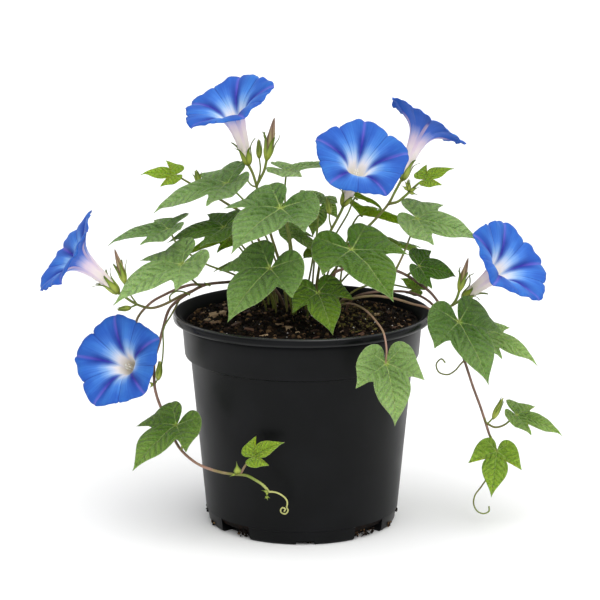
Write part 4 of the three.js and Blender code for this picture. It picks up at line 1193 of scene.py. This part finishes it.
def flower_axis(flower):
    """The line up the middle of a corolla: a function from a share to its point and direction."""
    base, centre, looks, _, _ = FLOWERS[flower]
    start, end = Vector(base), Vector(centre)
    bend = end - Vector(looks).normalized() * (end - start).length / 2

    def at(share):
        first, second = start.lerp(bend, share), bend.lerp(end, share)
        way = bend.lerp(end, min(1, share)) - start.lerp(bend, min(1, share))
        return first.lerp(second, share), way.normalized()

    return at


def build_stem(name, stem, seed, materials):
    """A stem with its side shoots, its flowers' calyxes, its buds and its sprouts."""
    pieces = []
    for i, (route, radius, ages) in enumerate(stem.runs, seed):
        spacing = 1.0 if radius == TENDRIL else 2.0
        pieces.append(shoot(route, radius, ages, i, materials["bark"], spacing=spacing))
    for i, flower in enumerate(stem.flowers, seed):
        pieces += build_calyx(*flower_axis(flower)(0), CALYX_SIZE, i, materials["sepal"])
    for i, (foot, tip, radius) in enumerate(stem.buds, seed + 10):
        pieces += build_bud(foot, tip, radius, i, materials)
    for i, (foot, tip, half) in enumerate(stem.sprouts, seed):
        pieces.append(build_sprout(foot, tip, half, i, materials["sepal"]))
    finished(joined(f"{name}_growth", pieces), "vine_stem", name)


# ---- corollas ---------------------------------------------------------------------------------

def build_corolla(flower, seed, materials):
    """One funnel: five petals grown together, with a ray down each and a seam between two."""
    _, _, _, spin, size = FLOWERS[flower]
    at = flower_axis(flower)
    curve = smooth([(r, z, 0) for r, z in FUNNEL], 1.6)
    spin = math.radians(spin)
    half_petal = math.pi / PETALS

    def place(u, v):
        radius, z, _ = along(curve, v)
        turn = math.tau * u
        to_seam = abs((u * PETALS) % 1 - 0.5) * 2 * half_petal
        to_ray = half_petal - to_seam
        compass = Vector(polar(1, turn, 0.9 * seed))
        limb = eased(*LIMB, radius)
        margin = eased(*MARGIN, radius)
        # The margin runs straight between blunt corners, with a small notch at each seam and ray.
        blunt = half_petal - math.hypot(to_ray, 0.1)
        straight = math.cos(half_petal) / math.cos(blunt) - 0.882
        star = 1 + PENTAGON * straight * max(0, radius - 12) / 24
        star -= margin ** 2 * (0.04 * math.exp(-(to_seam / 0.03) ** 2)
                               + 0.02 * math.exp(-(to_ray / 0.05) ** 2)
                               - 0.02 * noise.noise(compass * 7))
        # Rays and seams are sunk, and the tissue puffs up between them.
        crease = -limb * (RAY_CREASE * math.exp(-to_ray / 0.1)
                          + SEAM_CREASE * math.exp(-to_seam / 0.06))
        puff = PETAL_PUFF * limb * math.sin(math.pi * to_ray / half_petal)
        # The margin sways, ruffles and rolls back, and the tube is fluted.
        sway = margin * (0.9 * math.sin(2 * turn + seed) + 1.2 * noise.noise(compass * 1.7))
        ruffle = MARGIN_RUFFLE * margin ** 3 * noise.noise(compass * 5)
        roll = -MARGIN_ROLL * eased(31, 36.5, radius) ** 2
        fluted = 1 + 0.03 * math.cos(PETALS * turn) * eased(3, 6, radius) * (1 - limb)
        share = z / FUNNEL_HEIGHT
        centre, way = at(share)
        wide = radius * star * fluted * size ** share
        point = polar(wide, turn + spin, crease + puff + sway + ruffle + roll)
        return centre + facing_turn(way) @ Vector(point)

    funnel = shaped_grid("funnel", PETALS * PETAL_COLUMNS, PETAL_ROWS, place,
                         [materials["outside"], materials["inside"]],
                         lambda u, v: (0.5 - abs((u * PETALS) % 1 - 0.5), v, 0),
                         lambda u, v: polar(1, math.tau * u, v + seed))
    pieces = [thicken(funnel, PETAL_WALL, offset=-1, inner=1)]
    bpy.ops.object.select_all(action="DESELECT")
    bpy.ops.mesh.primitive_ico_sphere_add(subdivisions=2, radius=HEAD_RADIUS * MM)
    head = bpy.context.object
    bpy.ops.object.shade_smooth()
    head.data.materials.append(materials["pollen"])
    for i in range(PETALS + 1):
        share, spread, stretch = STAMEN_PLACE + 0.02 * (i % 2), STAMEN_SPREAD, HEAD_STRETCH
        if i == PETALS:
            share, spread, stretch = STIGMA_PLACE, 0, 1
        centre, way = at(share)
        turn = facing_turn(way)
        offset = turn @ Vector(polar(spread, spin + (i + 0.5) * math.tau / PETALS))
        top = centre + offset
        grain = new_object("grain", head.data.copy())
        grain.data.transform(Matrix.Translation(top * MM) @ turn.to_matrix().to_4x4()
                             @ Matrix.Diagonal((1, 1, stretch, 1)))
        route = [tuple(at(0.12)[0]), tuple(at(0.35)[0] + 0.6 * offset), tuple(top)]
        pieces += [grain, shoot(route, THREAD_RADIUS, (0, 0), seed, materials["pollen"], sides=6)]
    bpy.data.objects.remove(head)
    finished(joined(f"corolla_{flower}_petals", pieces), "petal", f"corolla_{flower}")


# ---- stage ------------------------------------------------------------------------------------

CAMERA_PLACE = (-1.5, -1760, 562)
CAMERA_PITCH = 12.4  # degrees below level
CAMERA_LENS = 139.5
# Soft lights: share of the power, width, tilt from overhead and turn to the side, in degrees.
LIGHTS = [("overhead_light", 1, 90, 18, 20), ("front_light", 0.3, 40, 60, 25)]


def build_stage(settings):
    """A pale floor, soft light from above and the camera."""
    bpy.ops.object.select_all(action="DESELECT")
    bpy.ops.mesh.primitive_plane_add(size=24, location=(0, 0, 0))
    floor = bpy.context.object
    floor.name = "studio_floor"
    material, node = new_material("white_studio_paper", 0.9, Specular_IOR_Level=0.1)
    where = node("TexCoord").outputs["Object"]
    fibre = node("TexNoise", Vector=where, Scale=1 / (300 * MM))
    floor.data.materials.append(finish_material(material, "#f8f8f8", [(fibre, "#fafafa")]))
    world = bpy.data.worlds.new("studio_white")
    bpy.context.scene.world = world
    world.use_nodes = True
    node = partial(add, world.node_tree)
    seen = node("LightPath").outputs["Is Camera Ray"]
    strength = node("MapRange", seen, 0, 1, settings.ambient, 1)
    background = world.node_tree.nodes["Background"]
    background.inputs["Color"].default_value = (1, 1, 1, 1)
    world.node_tree.links.new(output(strength), background.inputs["Strength"])
    for name, share, spread, tilt, turn in LIGHTS:
        light = bpy.data.lights.new(name, "SUN")
        light.energy = share * settings.key_power
        light.angle = math.radians(spread)
        lamp = new_object(name, light)
        lamp.rotation_euler = (math.radians(tilt), 0, math.radians(turn))
    bpy.context.scene.view_settings.view_transform = "Standard"
    lens = bpy.data.cameras.new("camera")
    lens.lens = CAMERA_LENS
    camera = new_object("camera", lens)
    camera.location = Vector(CAMERA_PLACE) * MM
    camera.rotation_euler = (math.radians(90 - CAMERA_PITCH), 0, 0)
    bpy.context.scene.camera = camera


# ---- add-on -----------------------------------------------------------------------------------

def colour_property(name, description, default):
    """A colour for the user to change, with a hex value to start from."""
    return bpy.props.FloatVectorProperty(name=name, description=description, subtype="COLOR",
                                         size=4, min=0, max=1, default=linear(default))


class MORNINGGLORY_PG_settings(bpy.types.PropertyGroup):
    """The colours and counts that a user would change."""

    pot_colour: colour_property("Pot", "Colour of the moulded pot", "#08090a")
    soil_colour: colour_property("Soil", "Lighter colour of the soil", "#2c1b10")
    leaf_colour: colour_property("Leaf", "Upper face of a grown leaf", "#769453")
    bark_colour: colour_property("Bark", "Woody end of a stem", "#4f3b2c")
    petal_colour: colour_property("Petal", "Blue of the corolla's margin", "#2558ac")
    ray_colour: colour_property("Ray", "Violet of the corolla's rays", "#35249a")
    crumb_count: bpy.props.IntProperty(
        name="Crumbs", description="Crumbs of soil on the surface", default=3000, min=0, max=6000)
    chip_count: bpy.props.IntProperty(
        name="Chips", description="Small bark chips on the soil", default=120, min=0, max=400)
    ambient: bpy.props.FloatProperty(
        name="Ambient", description="Light from all round", default=0.6, min=0, max=2,
        subtype="FACTOR")
    key_power: bpy.props.FloatProperty(
        name="Overhead light", description="Strength of the light from above", default=2.3, min=0,
        subtype="FACTOR")


class MORNINGGLORY_OT_pot(bpy.types.Operator):
    """Builds the nursery pot"""

    bl_idname = "morningglory.pot"
    bl_label = "Pot"

    def execute(self, context):
        build_pot(context.scene.morning_glory)
        return {"FINISHED"}


class MORNINGGLORY_OT_soil(bpy.types.Operator):
    """Builds the soil with its chips, perlite and moss"""

    bl_idname = "morningglory.soil"
    bl_label = "Soil"

    def execute(self, context):
        build_soil(context.scene.morning_glory)
        return {"FINISHED"}


class MORNINGGLORY_OT_stems(bpy.types.Operator):
    """Builds the stems and vines with their calyxes and buds"""

    bl_idname = "morningglory.stems"
    bl_label = "Stems"

    def execute(self, context):
        materials = {"bark": shoot_bark(context.scene.morning_glory), "sepal": sepal_tissue(),
                     "bud": rolled_bud()}
        for seed, (name, stem) in enumerate(STEMS.items()):
            build_stem(name, stem, 20 * seed, materials)
        return {"FINISHED"}


class MORNINGGLORY_OT_leaves(bpy.types.Operator):
    """Builds the leaves with their petioles"""

    bl_idname = "morningglory.leaves"
    bl_label = "Leaves"

    def execute(self, context):
        settings = context.scene.morning_glory
        materials = [leaf_tissue("leaf_upper_face", settings, True),
                     leaf_tissue("leaf_lower_face", settings, False), shoot_bark(settings)]
        for seed, (name, leaf) in enumerate(LEAVES.items()):
            build_leaf(name, leaf, seed, materials)
        return {"FINISHED"}


class MORNINGGLORY_OT_corollas(bpy.types.Operator):
    """Builds the six open flowers"""

    bl_idname = "morningglory.corollas"
    bl_label = "Flowers"

    def execute(self, context):
        settings = context.scene.morning_glory
        materials = {"inside": petal_tissue("petal_inside", settings, True),
                     "outside": petal_tissue("petal_outside", settings, False),
                     "pollen": pollen()}
        for seed, flower in enumerate(FLOWERS):
            build_corolla(flower, seed, materials)
        return {"FINISHED"}


class MORNINGGLORY_OT_stage(bpy.types.Operator):
    """Builds the floor, the lights and the camera"""

    bl_idname = "morningglory.stage"
    bl_label = "Stage"

    def execute(self, context):
        build_stage(context.scene.morning_glory)
        return {"FINISHED"}


OPERATORS = (MORNINGGLORY_OT_stage, MORNINGGLORY_OT_pot, MORNINGGLORY_OT_soil,
             MORNINGGLORY_OT_stems, MORNINGGLORY_OT_leaves, MORNINGGLORY_OT_corollas)


class MORNINGGLORY_PT_panel(bpy.types.Panel):
    """Lists the pieces of the plant in the sidebar"""

    bl_idname = "MORNINGGLORY_PT_panel"
    bl_label = "Morning Glory"
    bl_space_type = "VIEW_3D"
    bl_region_type = "UI"
    bl_category = "Morning Glory"

    def draw(self, context):
        settings = context.scene.morning_glory
        for name in settings.bl_rna.properties.keys():
            if name not in ("rna_type", "name"):
                self.layout.prop(settings, name)
        for operator in OPERATORS:
            self.layout.operator(operator.bl_idname)


CLASSES = (MORNINGGLORY_PG_settings, *OPERATORS, MORNINGGLORY_PT_panel)


def register():
    for item in CLASSES:
        bpy.utils.register_class(item)
    bpy.types.Scene.morning_glory = bpy.props.PointerProperty(type=MORNINGGLORY_PG_settings)


def unregister():
    del bpy.types.Scene.morning_glory
    for item in reversed(CLASSES):
        bpy.utils.unregister_class(item)


def main():
    register()
    for operator in OPERATORS:
        group, name = operator.bl_idname.split(".")
        getattr(getattr(bpy.ops, group), name)()
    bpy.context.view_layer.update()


if __name__ == "__main__":
    main()
